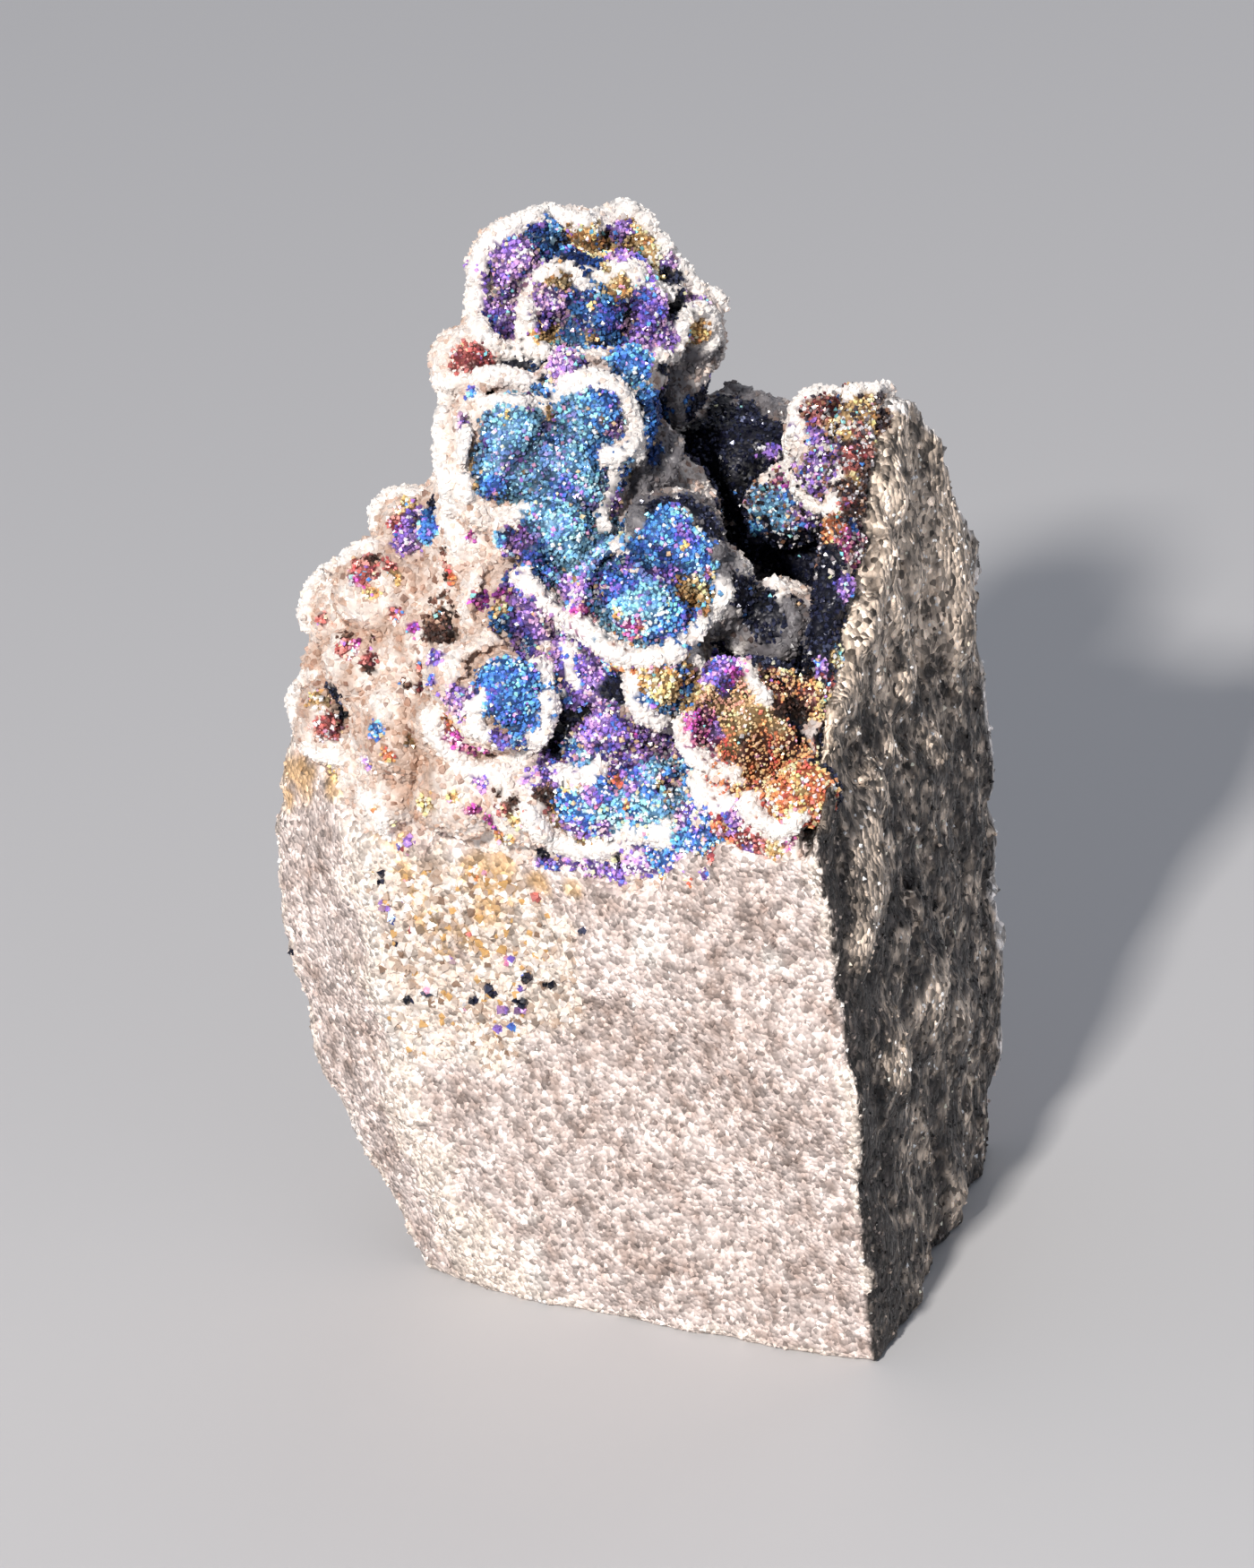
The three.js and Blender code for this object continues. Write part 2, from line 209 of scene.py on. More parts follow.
# Bands of white druse round the coloured caps: half width, and the points that each one follows.
RIDGES = [
    (9, [(542, 378), (534, 360), (530, 340), (532, 312), (535, 288), (543, 271), (558, 260), (576, 252),
         (592, 241), (612, 238), (630, 243), (642, 248), (660, 245), (676, 242), (690, 234), (702, 232),
         (716, 241), (726, 253)]),
    (7, [(545, 382), (562, 391), (580, 394)]),
    (6, [(733, 262), (742, 272), (752, 285), (768, 303), (775, 315), (770, 325)]),
    (8, [(620, 391), (605, 394), (593, 388), (584, 376), (584, 358), (590, 338), (596, 320), (605, 306),
         (620, 299), (635, 303), (650, 311), (670, 310), (685, 304), (700, 298), (711, 301), (711, 314)]),
    (4, [(715, 321), (728, 318), (742, 322), (750, 333)]),
    (7, [(752, 396), (757, 385), (760, 367), (766, 353), (778, 346), (792, 350), (800, 362), (799, 380),
         (788, 393), (770, 397), (750, 397), (738, 394)]),
    (6, [(776, 328), (792, 324), (806, 331), (811, 344)]),
    (8, [(490, 425), (505, 430), (520, 425), (540, 420), (562, 416), (580, 419), (588, 426)]),
    (7, [(602, 458), (591, 451), (575, 447), (557, 447), (541, 451), (530, 461), (523, 473), (519, 490),
         (516, 510), (517, 530), (520, 548), (530, 563), (545, 573), (560, 578), (575, 575), (587, 567)]),
    (9, [(604, 457), (613, 446), (629, 433), (647, 424), (663, 422), (679, 427), (694, 440), (705, 458),
         (710, 477), (708, 491), (701, 500), (689, 507), (678, 511)]),
    (5, [(687, 520), (688, 531), (683, 547), (676, 559), (672, 575), (676, 588), (685, 603), (694, 619)]),
    (8, [(712, 506), (712, 531), (715, 562), (708, 594)]),
    (7, [(754, 441), (758, 469), (755, 506), (744, 537)]),
    (11, [(585, 642), (597, 659), (616, 679), (635, 690), (652, 702), (666, 713), (680, 723), (700, 731),
          (722, 735), (741, 732), (757, 722)]),
    (9, [(803, 640), (809, 655), (806, 669), (795, 685), (780, 698), (773, 712)]),
    (6, [(797, 610), (822, 630), (845, 640), (868, 651), (880, 670), (889, 693), (885, 715), (868, 730)]),
    (7, [(637, 722), (636, 740), (642, 757)]),
    (9, [(702, 759), (706, 778), (718, 796), (737, 805), (758, 809), (763, 825), (770, 841), (786, 852),
         (804, 861), (820, 865)]),
    (6, [(770, 724), (775, 738), (786, 747)]),
    (4, [(815, 712), (828, 728), (838, 750), (845, 765), (858, 782)]),
    (9, [(601, 740), (607, 755), (613, 775), (614, 795), (609, 812), (598, 826), (588, 837), (575, 846),
         (560, 851)]),
    (8, [(488, 790), (481, 802), (482, 818), (494, 835), (512, 848), (535, 859), (560, 860)]),
    (7, [(540, 776), (531, 790), (529, 805), (538, 817)]),
    (9, [(776, 868), (781, 880), (790, 889), (802, 896), (814, 897)]),
    (9, [(838, 893), (836, 903), (845, 913), (858, 921), (872, 924), (884, 920), (893, 912)]),
    (8, [(625, 862), (645, 868), (660, 862), (676, 852)]),
    (10, [(592, 912), (603, 927), (620, 939), (645, 947), (672, 947), (693, 939), (712, 930), (733, 932),
          (745, 925)]),
    (6, [(418, 600), (418, 580), (422, 562), (434, 552), (448, 546), (456, 547), (464, 555)]),
    (7, [(341, 701), (339, 680), (346, 656), (359, 641), (376, 629), (398, 615), (417, 607)]),
    (6, [(326, 805), (325, 782), (330, 766), (342, 756), (358, 753)]),
    (6, [(339, 836), (360, 843), (384, 845)]),
    (5, [(885, 456), (893, 447), (905, 439), (920, 436), (938, 438), (952, 438), (968, 432), (984, 430),
         (996, 438)]),
    (6, [(890, 458), (886, 474), (881, 490), (880, 508), (884, 526), (891, 545), (903, 560), (918, 570),
         (932, 566)]),
    (4, [(812, 430), (842, 439), (858, 452), (875, 459)]),
    (6, [(404, 887), (418, 903), (430, 920), (438, 938)]),
    (9, [(500, 442), (495, 470), (494, 500), (496, 530), (501, 560), (508, 588), (512, 612)]),
]

# Where the growth is tarnished all over between those bands, and where it is white all the same.
COLOURED = [
    (570, 300, 40), (560, 352, 30), (608, 270, 32), (650, 275, 32), (700, 275, 32), (735, 300, 30),
    (725, 356, 38), (705, 405, 28), (755, 345, 24), (778, 372, 18), (783, 340, 14), (527, 407, 26),
    (585, 405, 28), (632, 405, 28), (605, 437, 22), (546, 437, 12), (577, 485, 44), (558, 522, 42),
    (592, 608, 28), (734, 460, 32), (728, 505, 16), (740, 600, 46), (775, 622, 40), (715, 680, 50),
    (776, 662, 32), (745, 700, 38), (577, 650, 22), (595, 700, 36), (560, 690, 18), (570, 772, 44),
    (517, 787, 22), (500, 815, 18), (515, 832, 14), (625, 845, 22), (610, 962, 14), (650, 970, 16),
    (692, 970, 16), (738, 960, 22), (765, 962, 20), (798, 950, 30), (830, 950, 22), (865, 942, 18),
    (862, 835, 44), (878, 893, 28), (888, 858, 24), (860, 682, 34), (832, 655, 26), (800, 500, 80),
    (890, 640, 90), (930, 470, 32), (960, 475, 38), (975, 520, 38), (985, 485, 28), (922, 535, 32),
    (865, 568, 40), (895, 580, 26), (880, 530, 22), (940, 590, 34), (945, 742, 24), (462, 580, 20),
    (480, 590, 16), (905, 455, 18), (650, 330, 90), (625, 500, 86), (650, 620, 70), (660, 740, 84),
    (690, 860, 90), (790, 860, 100), (830, 760, 90), (620, 800, 60), (755, 360, 40), (950, 446, 24),
    (975, 444, 22), (925, 450, 18), (916, 625, 26), (914, 660, 26), (910, 700, 26), (905, 735, 22),
]
PALE = [
    (518, 632, 16), (520, 690, 16), (530, 730, 18), (620, 660, 8), (640, 675, 7), (700, 795, 7),
    (945, 640, 11), (905, 812, 9), (778, 915, 8), (610, 722, 7), (598, 872, 6), (796, 865, 9),
]

# Painted shade: white druse that stands in the shade of the crown or inside the hollow, painted dark grey.
PAINTED_SHADE_MARKS = [
    (840, 448, 40), (800, 430, 30), (760, 480, 50), (715, 560, 40), (740, 540, 40), (745, 430, 26),
    (845, 650, 60), (888, 700, 40), (800, 600, 50), (775, 405, 18), (800, 395, 14), (870, 462, 20),
    (740, 520, 60), (725, 570, 40), (780, 560, 30), (815, 700, 30), (850, 730, 26),
]

# Low lobes of the pale druse on the left.
LOBES = [
    (450, 593, 38), (400, 655, 59), (452, 651, 42), (394, 736, 45), (359, 788, 36), (440, 740, 42),
    (501, 701, 34), (430, 795, 34), (441, 849, 38), (478, 801, 28), (493, 862, 34), (544, 852, 28),
    (521, 910, 34), (471, 906, 30), (574, 905, 28), (431, 906, 25), (504, 751, 36), (561, 870, 25),
    (602, 900, 25),
]

# Tarnished patches of the growth by ink.
PATCHES = {
    "blue": [
        (605, 263, 23), (664, 347, 30), (704, 409, 23), (603, 440, 16), (670, 458, 26), (549, 535, 22),
        (675, 505, 22), (594, 622, 18), (739, 595, 36), (776, 624, 36), (745, 694, 30), (690, 655, 25),
        (568, 770, 40), (590, 800, 28), (735, 737, 13), (676, 886, 15), (641, 905, 15), (783, 938, 18),
        (735, 957, 15), (846, 590, 14), (475, 592, 15), (421, 814, 9), (885, 553, 15),
        (530, 437, 9), (560, 695, 11), (593, 715, 12), (680, 742, 10), (755, 742, 10), (762, 768, 9),
        (722, 782, 11), (750, 787, 8), (636, 840, 13), (570, 640, 9), (560, 602, 10), (700, 905, 14),
        (718, 884, 13), (748, 866, 12), (655, 918, 11), (700, 866, 12), (630, 545, 14), (618, 490, 12),
    ],
    "teal": [
        (574, 478, 36), (640, 462, 26), (628, 512, 36), (555, 515, 28), (590, 530, 30), (650, 545, 26),
        (598, 566, 28), (625, 582, 32), (645, 612, 30), (715, 676, 40), (727, 862, 17), (735, 905, 16),
        (712, 892, 12), (742, 884, 12), (665, 905, 13), (685, 912, 11), (866, 566, 22), (845, 560, 20),
        (876, 585, 18), (650, 852, 11), (758, 893, 9), (690, 892, 11), (722, 920, 11),
    ],
    "violet": [
        (573, 293, 30), (562, 351, 23), (699, 287, 12), (614, 338, 23), (726, 342, 25), (727, 372, 21),
        (781, 340, 13), (634, 405, 20), (578, 604, 20), (636, 656, 18), (590, 688, 22), (606, 708, 27),
        (517, 787, 22), (655, 736, 22), (683, 815, 36), (612, 850, 15), (748, 870, 10), (818, 915, 12),
        (822, 898, 10), (680, 972, 11), (790, 975, 14), (805, 748, 20), (900, 573, 23), (916, 520, 25),
        (905, 575, 15), (910, 491, 13), (881, 590, 13), (907, 542, 15), (973, 573, 13), (962, 664, 15),
        (455, 600, 19), (487, 736, 11), (411, 851, 9), (536, 874, 11), (622, 966, 12), (660, 968, 14),
        (700, 966, 12), (752, 973, 13), (439, 946, 11), (716, 298, 10), (520, 470, 12), (575, 642, 12),
        (655, 812, 14), (705, 845, 16), (592, 869, 12), (797, 818, 8), (840, 958, 9), (460, 575, 12),
        (480, 765, 8), (545, 820, 9), (560, 828, 11), (885, 480, 10), (860, 505, 9), (945, 655, 12),
        (915, 745, 8), (696, 256, 12), (745, 290, 11), (640, 968, 12), (718, 968, 12), (604, 962, 9),
        (770, 972, 11), (662, 890, 10), (706, 878, 9), (756, 910, 9), (672, 922, 9), (640, 925, 10),
        (688, 480, 10), (545, 495, 9), (800, 735, 12), (686, 560, 9), (735, 640, 12), (760, 590, 10),
    ],
    "magenta": [
        (633, 502, 7), (527, 599, 10), (708, 694, 18), (553, 662, 9), (503, 822, 15), (640, 698, 15),
        (785, 817, 15), (801, 830, 12), (878, 534, 19), (955, 608, 18), (534, 670, 11), (815, 751, 15),
        (397, 647, 9), (526, 904, 9), (521, 836, 11), (705, 818, 9), (605, 833, 8), (668, 900, 9),
        (878, 935, 9), (447, 590, 9), (463, 700, 8), (398, 720, 8), (575, 585, 9), (547, 915, 8),
        (540, 838, 7), (975, 585, 10), (960, 680, 10),
    ],
    "gold": [
        (658, 268, 21), (707, 268, 13), (727, 282, 14), (622, 313, 14), (690, 321, 19), (610, 373, 13),
        (778, 370, 17), (701, 528, 8), (771, 652, 22), (742, 762, 25), (864, 947, 11), (815, 798, 17),
        (813, 835, 12), (850, 788, 13), (957, 452, 14), (970, 465, 12), (983, 604, 9), (969, 700, 10),
        (933, 737, 13), (926, 782, 11), (824, 778, 14), (790, 775, 12), (455, 563, 11), (440, 640, 9),
        (353, 780, 15), (474, 897, 11), (577, 919, 11), (561, 935, 11), (531, 976, 19), (372, 861, 11),
        (413, 899, 11), (429, 926, 13), (456, 825, 8), (506, 890, 9), (663, 342, 9), (660, 374, 8),
        (524, 522, 8), (528, 540, 6), (568, 465, 8), (672, 468, 8), (558, 678, 10), (745, 885, 8),
        (850, 760, 8), (895, 883, 8), (890, 870, 7), (415, 660, 9), (620, 915, 9), (640, 875, 8),
        (508, 990, 12), (545, 970, 14), (955, 530, 10), (965, 720, 9), (955, 745, 10), (940, 760, 9),
        (935, 475, 12), (948, 485, 9), (832, 765, 14), (838, 808, 13), (862, 812, 12), (690, 685, 9),
        (612, 462, 8), (642, 648, 8), (765, 610, 9), (734, 870, 8), (655, 940, 9), (745, 980, 9),
    ],
    "orange": [
        (498, 810, 15), (694, 738, 19), (847, 826, 15), (834, 872, 12), (876, 898, 24), (856, 862, 13),
        (932, 588, 12), (505, 643, 8), (433, 845, 9), (801, 926, 9), (595, 685, 8), (690, 872, 8),
        (868, 835, 14), (818, 850, 10), (826, 888, 7), (600, 925, 8), (880, 860, 12), (842, 848, 11),
        (716, 700, 8), (790, 640, 8), (700, 900, 7), (820, 960, 10), (775, 985, 9), (862, 965, 9),
    ],
    "rust": [
        (528, 408, 25), (835, 927, 12), (885, 835, 15), (868, 770, 16), (915, 453, 15), (953, 510, 18),
        (958, 480, 12), (941, 714, 13), (901, 773, 15), (941, 777, 11), (440, 580, 11), (405, 633, 19),
        (437, 636, 10), (497, 625, 8), (359, 689, 9), (383, 724, 13), (411, 736, 11), (471, 771, 9),
        (367, 811, 19), (591, 904, 11), (798, 954, 13), (847, 962, 11), (323, 886, 11), (855, 850, 15),
        (870, 850, 10), (805, 872, 13), (860, 898, 9), (850, 930, 10), (833, 845, 9), (815, 955, 11),
        (440, 685, 10), (470, 745, 8), (560, 905, 8), (505, 975, 8), (900, 455, 9), (968, 500, 12),
        (938, 445, 8), (945, 560, 11), (950, 720, 10), (920, 765, 9), (893, 760, 9), (912, 800, 10),
    ],
    # Near black: painted shade in the hollow, in shadowed gaps and between lumps, over the crust's own dark
    # tarnish.
    "dark": [
        (627, 270, 9), (750, 338, 12), (763, 350, 11), (583, 406, 18), (545, 437, 9), (741, 436, 21),
        (690, 775, 20), (625, 845, 11), (605, 952, 9), (867, 697, 22), (846, 668, 20), (824, 660, 20),
        (373, 775, 13), (382, 794, 13), (954, 717, 11), (655, 795, 11), (748, 876, 9), (640, 800, 10),
        (485, 563, 9), (468, 560, 8), (575, 891, 6), (780, 455, 17), (805, 448, 16), (832, 458, 17),
        (852, 478, 17), (760, 482, 16), (703, 347, 8), (618, 292, 7), (640, 300, 8), (672, 386, 6),
        (745, 306, 9), (742, 410, 10), (735, 880, 6), (630, 870, 6), (690, 955, 8), (607, 425, 7),
        (918, 625, 18), (915, 660, 20), (910, 698, 18), (885, 745, 16), (700, 830, 7), (668, 830, 7),
        (722, 567, 16), (742, 557, 15), (766, 559, 16), (786, 573, 16), (798, 593, 15), (803, 612, 15),
        (628, 812, 12),
    ],
    "navy": [
        (736, 458, 28), (731, 485, 21), (604, 413, 15), (650, 292, 12), (688, 532, 9), (480, 577, 12),
        (955, 590, 9),
    ],
    "bark": [
        (983, 502, 21), (988, 537, 21), (966, 524, 19), (868, 795, 8), (850, 757, 9), (880, 782, 10),
        (490, 692, 19), (500, 712, 13), (832, 825, 5), (862, 775, 7), (499, 642, 6), (497, 660, 6),
        (486, 672, 6), (500, 600, 6), (497, 615, 6), (485, 705, 14), (410, 745, 9), (415, 625, 9),
        (420, 712, 7), (385, 712, 8), (455, 765, 7), (572, 898, 8), (580, 890, 6), (600, 885, 8),
        (560, 885, 6), (620, 940, 7), (515, 965, 12), (990, 470, 14), (1000, 480, 10), (965, 560, 12),
        (905, 755, 9), (895, 790, 12), (945, 545, 13), (952, 572, 12), (950, 495, 9),
    ],
}

# Marks on the rock: patches of pale druse, stains, white spots and where the right face bulges, which
# there also get a painted highlight. The stray crystals are points without a radius.
DRUSE_PATCHES = [
    (448, 1001, 45), (499, 1001, 60), (560, 1020, 60), (609, 1060, 45), (479, 1082, 60), (560, 1101, 60),
    (466, 1154, 36), (538, 1152, 49), (619, 1120, 36),
]
ROCK_GOLD = [
    (443, 934, 15), (425, 918, 17), (531, 975, 26), (524, 1046, 15), (499, 1061, 11), (561, 989, 19),
    (340, 867, 23), (318, 891, 15), (324, 859, 17), (504, 1031, 11), (373, 875, 19), (480, 1028, 16),
    (560, 962, 16), (600, 985, 14), (640, 992, 12), (468, 998, 16), (545, 1012, 18), (452, 972, 14),
]
ROCK_WHITE = [
    (725, 1058, 19), (863, 1071, 13), (598, 1353, 11), (597, 1389, 13), (601, 1426, 15), (604, 1457, 15),
    (369, 1227, 15), (389, 1257, 15), (401, 1277, 13), (401, 900, 9), (407, 930, 9), (410, 965, 9),
    (413, 1000, 10), (416, 1035, 10), (419, 1070, 11), (423, 1105, 12), (428, 1140, 14), (440, 1165, 14),
    (508, 958, 8), (506, 985, 7), (512, 1008, 6), (470, 1165, 16), (520, 1170, 14),
]
BULGES = [
    (957, 929, 34), (962, 994, 42), (954, 1048, 30), (1056, 600, 30), (1058, 650, 34), (1060, 705, 32),
    (1030, 1111, 36), (1062, 1136, 32), (995, 1181, 38), (1060, 1333, 28), (1000, 1050, 18),
    (1046, 1236, 14), (1000, 690, 22), (1008, 760, 24), (975, 880, 22), (985, 835, 18), (1018, 640, 22),
    (1000, 560, 22), (990, 620, 20), (965, 700, 16), (1010, 1130, 20), (1075, 1370, 14),
]
STRAY_CRYSTALS = {
    "dark": [
        (428, 975), (424, 986), (590, 1090), (550, 1111), (477, 1110), (457, 1118), (448, 1057),
        (651, 1036), (330, 1062), (558, 1121), (548, 1105), (580, 1120), (530, 1118), (612, 1098),
    ],
    "violet": [
        (456, 941), (461, 937), (448, 944), (430, 1011), (580, 1127), (570, 1070), (583, 1105),
        (454, 1004), (504, 1073), (588, 1090), (560, 1128), (480, 1108), (558, 1150),
    ],
    "blue": [(439, 1027), (443, 1031), (518, 1122), (574, 1143)],
    "magenta": [(453, 1003), (568, 1070), (458, 985), (462, 1035)],
    "rust": [(452, 949), (598, 1002), (489, 1016), (526, 1040), (460, 1040)],
}

# ---------------------------------------------------------------- noise


def lattice(c, seed):
    """A fixed value from 0 to 1 for each whole-numbered corner."""
    s = np.sin(c[..., 0] * 127.1 + c[..., 1] * 311.7 + c[..., 2] * 74.7 + seed * 19.19) * 43758.5453
    return s - np.floor(s)


def noise(p, scale, seed=0):
    """Smooth noise from -1 to 1, with features about scale across."""
    q = p / scale
    c = np.floor(q)
    f = q - c
    f = f * f * (3 - 2 * f)
    total = np.zeros(len(p))
    for corner in np.ndindex(2, 2, 2):
        weight = np.prod(np.where(corner, f, 1 - f), axis=-1)
        total += weight * lattice(c + corner, seed)
    return 2 * total - 1


def ramp(x, low, high):
    """A smooth rise from 0 at low to 1 at high."""
    t = np.clip((x - low) / (high - low), 0, 1)
    return t * t * (3 - 2 * t)


def mix(a, b, t):
    """a where t is 0 and b where it is 1."""
    return a + (b - a) * t


def near_marks(points, marks):
    """Each point's distance to the nearest of a group of balls, in that ball's radii."""
    nearest = np.full(len(points), 9.0)
    for x, y, z, radius in marks:
        nearest = np.minimum(nearest, np.linalg.norm(points - (x, y, z), axis=1) / radius)
    return nearest


def inside(points, marks, ragged):
    """Whether each point is in one of a group of balls, with an uneven border."""
    return near_marks(points, marks) + ragged * noise(points, 1.1, 37) < 1


def spots(points, marks, soft=0.5):
    """How far each point is inside a group of round marks, from 0 to 1."""
    return 1 - ramp(near_marks(points, marks) + 0.35 * noise(points, 0.8, 33), 1 - soft, 1 + soft)


# ---------------------------------------------------------------- lines of sight

# The lens's length in pixels, the camera's place in the layout and its rotation, and the distances from
# it at which a line of sight looks for a surface.
FOCAL = PICTURE[1] * camera.data.lens / camera.data.sensor_width
EYE = np.array(camera.location) * 1000 - OFFSET
TURN = np.array(camera.rotation_quaternion.to_matrix())
REACH = np.arange(455, 540, 0.1)


def along(line, step=6):
    """Points at an even step along a line of picture points."""
    line = np.array(line, float)
    run = np.concatenate([[0], np.cumsum(np.linalg.norm(np.diff(line, axis=0), axis=1))])
    stops = np.linspace(0, run[-1], max(2, round(run[-1] / step) + 1))
    return np.column_stack([np.interp(stops, run, line[:, i]) for i in (0, 1)])


# ---------------------------------------------------------------- the solids as distance fields


class Field:
    """A block of points at an even pitch, with a distance at each, negative inside."""

    def __init__(self, low, high, pitch):
        self.low, self.pitch = np.array(low, float), pitch
        self.shape = tuple(np.ceil((np.array(high) - low) / pitch).astype(int) + 1)
        self.axes = [self.low[i] + pitch * np.arange(self.shape[i]) for i in range(3)]

    def full(self, value):
        """A field that is the same all over."""
        return np.full(self.shape, value, np.float32)

    def part(self, low, high):
        """The part of the block between two corners, as slices."""
        first = np.maximum(np.floor((low - self.low) / self.pitch), 0).astype(int)
        last = np.maximum(np.ceil((high - self.low) / self.pitch).astype(int) + 1, 0)
        return tuple(slice(a, b) for a, b in zip(first, last))

    def balls(self, lumps, blend, reach=2.5):
        """Distance to a union of balls, smoothly blended."""
        field = self.full(9)
        for x, y, z, radius in lumps:
            centre, around = np.array([x, y, z]), radius + reach
            part = self.part(centre - around, centre + around)
            gx, gy, gz = (self.axes[i][part[i]] - centre[i] for i in range(3))
            ball = np.sqrt(gx[:, None, None] ** 2 + gy[None, :, None] ** 2 + gz**2) - radius
            field[part] = joined(field[part], ball, blend)
        return field

    def tubes(self, lines, blend, reach=2, longest=2.2):
        """Distance to rounded ridges along lines of points, broken where a line jumps."""
        field = self.full(9)
        for radius, line in lines:
            for a, b in zip(line[:-1], line[1:]):
                if np.linalg.norm(b - a) > longest:
                    continue
                around = radius + reach
                part = self.part(np.minimum(a, b) - around, np.maximum(a, b) + around)
                p = np.stack(np.meshgrid(*(self.axes[i][part[i]] for i in range(3)), indexing="ij"), axis=-1)
                t = np.clip((p - a) @ (b - a) / max((b - a) @ (b - a), 1e-6), 0, 1)
                tube = np.linalg.norm(p - a - t[..., None] * (b - a), axis=-1) - radius
                field[part] = joined(field[part], tube, blend)
        return field

    def outward(self, field, points):
        """The direction in which the field grows at points."""
        steps = np.eye(3) * 2 * self.pitch
        slope = np.stack([self.at(field, points + s) - self.at(field, points - s) for s in steps], axis=-1)
        return slope / np.maximum(np.linalg.norm(slope, axis=-1, keepdims=True), 1e-6)

    def near(self, field, band):
        """Where the field is close to the surface: the index of each such point, and its place."""
        index = np.nonzero(np.abs(field) < band)
        return index, np.stack([self.axes[i][index[i]] for i in range(3)], axis=-1)

    def roughen(self, field, band, *layers):
        """Raise the field's surface by layers of noise, each a height, a size and a seed."""
        index, p = self.near(field, band)
        field[index] -= sum(height * noise(p, size, seed) for height, size, seed in layers)

    def at(self, field, points):
        """The field's value at the grid's nearest point to each of the points."""
        index = np.rint((points - self.low) / self.pitch).astype(int)
        index = np.clip(index, 0, np.array(self.shape) - 1)
        return field[tuple(index.T)]

    def seen(self, field, marks, miss=0.9):
        """Where the camera's lines of sight through picture points meet the field's surface, or pass
        nearest to it, and which of them come close enough to count."""
        x, y = np.array(marks, float)[:, :2].T
        ways = np.column_stack([x - PICTURE[0] / 2, PICTURE[1] / 2 - y, np.full(len(x), -FOCAL)]) @ TURN.T
        ways /= np.linalg.norm(ways, axis=1, keepdims=True)
        points = EYE + REACH[:, None] * ways[:, None]
        depth = self.at(field, points.reshape(-1, 3)).reshape(points.shape[:2])
        hit = depth < 0
        stop = np.where(hit.any(axis=1), hit.argmax(axis=1), depth.argmin(axis=1))
        row = np.arange(len(x))
        return points[row, stop], depth[row, stop] < miss

    def marked(self, field, marks):
        """Balls on the field's surface under marks in the picture: x, y, z and radius."""
        points, close = self.seen(field, marks)
        return np.column_stack([points, np.array(marks, float)[:, 2] / PER_MM])[close]

    def surface(self, field):
        """Points and four-sided faces of the field's surface."""
        edge = 3 * self.pitch
        grid = openvdb.FloatGrid(edge)
        grid.copyFromArray(np.clip(field, -edge, edge).astype(np.float32))
        points, quads = grid.convertToQuads()
        return points * self.pitch + self.low, quads


def joined(a, b, blend):
    """The union of two fields, with a fillet between them."""
    h = np.clip(0.5 + 0.5 * (a - b) / blend, 0, 1)
    return a * (1 - h) + b * h - blend * h * (1 - h)


def corners_at(z):
    """The six corners of the block's outline at a height."""
    heights, outlines = zip(*SECTIONS)
    corners = np.array(outlines, float).transpose(1, 2, 0)
    return np.array([[np.interp(z, heights, run) for run in corner] for corner in corners])


def block_field(grid):
    """Distance to the untrimmed block, which of its six faces is nearest, and the depth under the
    second nearest face, which is small along the block's edges."""
    x, y = np.meshgrid(grid.axes[0], grid.axes[1], indexing="ij")
    distance, face, edge = grid.full(0), np.zeros(grid.shape, np.int8), grid.full(0)
    for k, z in enumerate(grid.axes[2]):
        corners = corners_at(z)
        sides = []
        for i in range(6):
            (ax, ay), (bx, by) = corners[i], corners[(i + 1) % 6]
            length = math.hypot(bx - ax, by - ay)
            sides.append(((x - ax) * (by - ay) - (y - ay) * (bx - ax)) / length)
        sides = np.array(sides)
        order = np.argsort(sides, axis=0)
        face[:, :, k] = order[-1]
        distance[:, :, k] = sides.max(axis=0)
        edge[:, :, k] = -np.take_along_axis(sides, order[-2:-1], axis=0)[0]
    return distance, face, edge


def torn_top(grid):
    """Height of the broken top over the plan, as in the part."""
    x, y = np.meshgrid(grid.axes[0], grid.axes[1], indexing="ij")
    inward = np.maximum(x * FRONT_NORMAL[0] + y * FRONT_NORMAL[1], 0)
    from_right = x * RIGHT_NORMAL[0] + y * RIGHT_NORMAL[1]
    slope = np.minimum(FRONT_EDGE_HEIGHT + SLOPE_RISE * inward, SHOULDER_HEIGHT)
    lip = FRONT_EDGE_HEIGHT + LIP_RISE + LIP_SLOPE * np.minimum(inward, LIP_END)
    hollow = mix(lip, HOLLOW_FLOOR, ramp(inward, *HOLLOW_BRINK))
    front = mix(hollow, slope, ramp(from_right, *HOLLOW_SIDE))
    rim = np.interp(from_right, *zip(*BACK_RIM))
    ground = np.maximum(front, mix(FRONT_EDGE_HEIGHT - 3, rim, ramp(inward, *RIM_FOOT)))
    wall = np.interp(y, *zip(*WALL_CREST))
    thickness = mix(WALL_FRONT_THICKNESS, WALL_THICKNESS, ramp(y, *WALL_THICKENING))
    height = mix(wall, ground, ramp(from_right, thickness - 1, thickness + 1))
    p = np.stack([x.ravel() / 3.1, y.ravel() / 3.1, np.full(x.size, 4.0)], axis=-1)
    height = height + 0.7 * noise(p, 1).reshape(x.shape)
    gx, gy = np.gradient(height, grid.pitch)
    return height, np.sqrt(1 + np.minimum(gx**2 + gy**2, 6))


def fibres(p, bulges):
    """Relief of the right face: upright fibres, coarser swellings and the bulges."""
    fine = noise(p, np.array([1.5, 1.5, 3]), 7) + 0.7 * noise(p, np.array([0.75, 0.75, 1.2]), 8)
    fine = fine + 0.5 * noise(p, 0.45, 14)
    coarse = np.maximum(noise(p, np.array([2.6, 2.6, 6]), 9), 0) ** 1.5
    swell = sum(
        np.exp(-(((p - (x, y, z)) / (0.9 * r, 0.9 * r, 1.5 * r)) ** 2).sum(axis=1))
        for x, y, z, r in bulges
    )
    return 0.36 * fine + 0.8 * coarse + 1.4 * np.minimum(swell, 1.2)


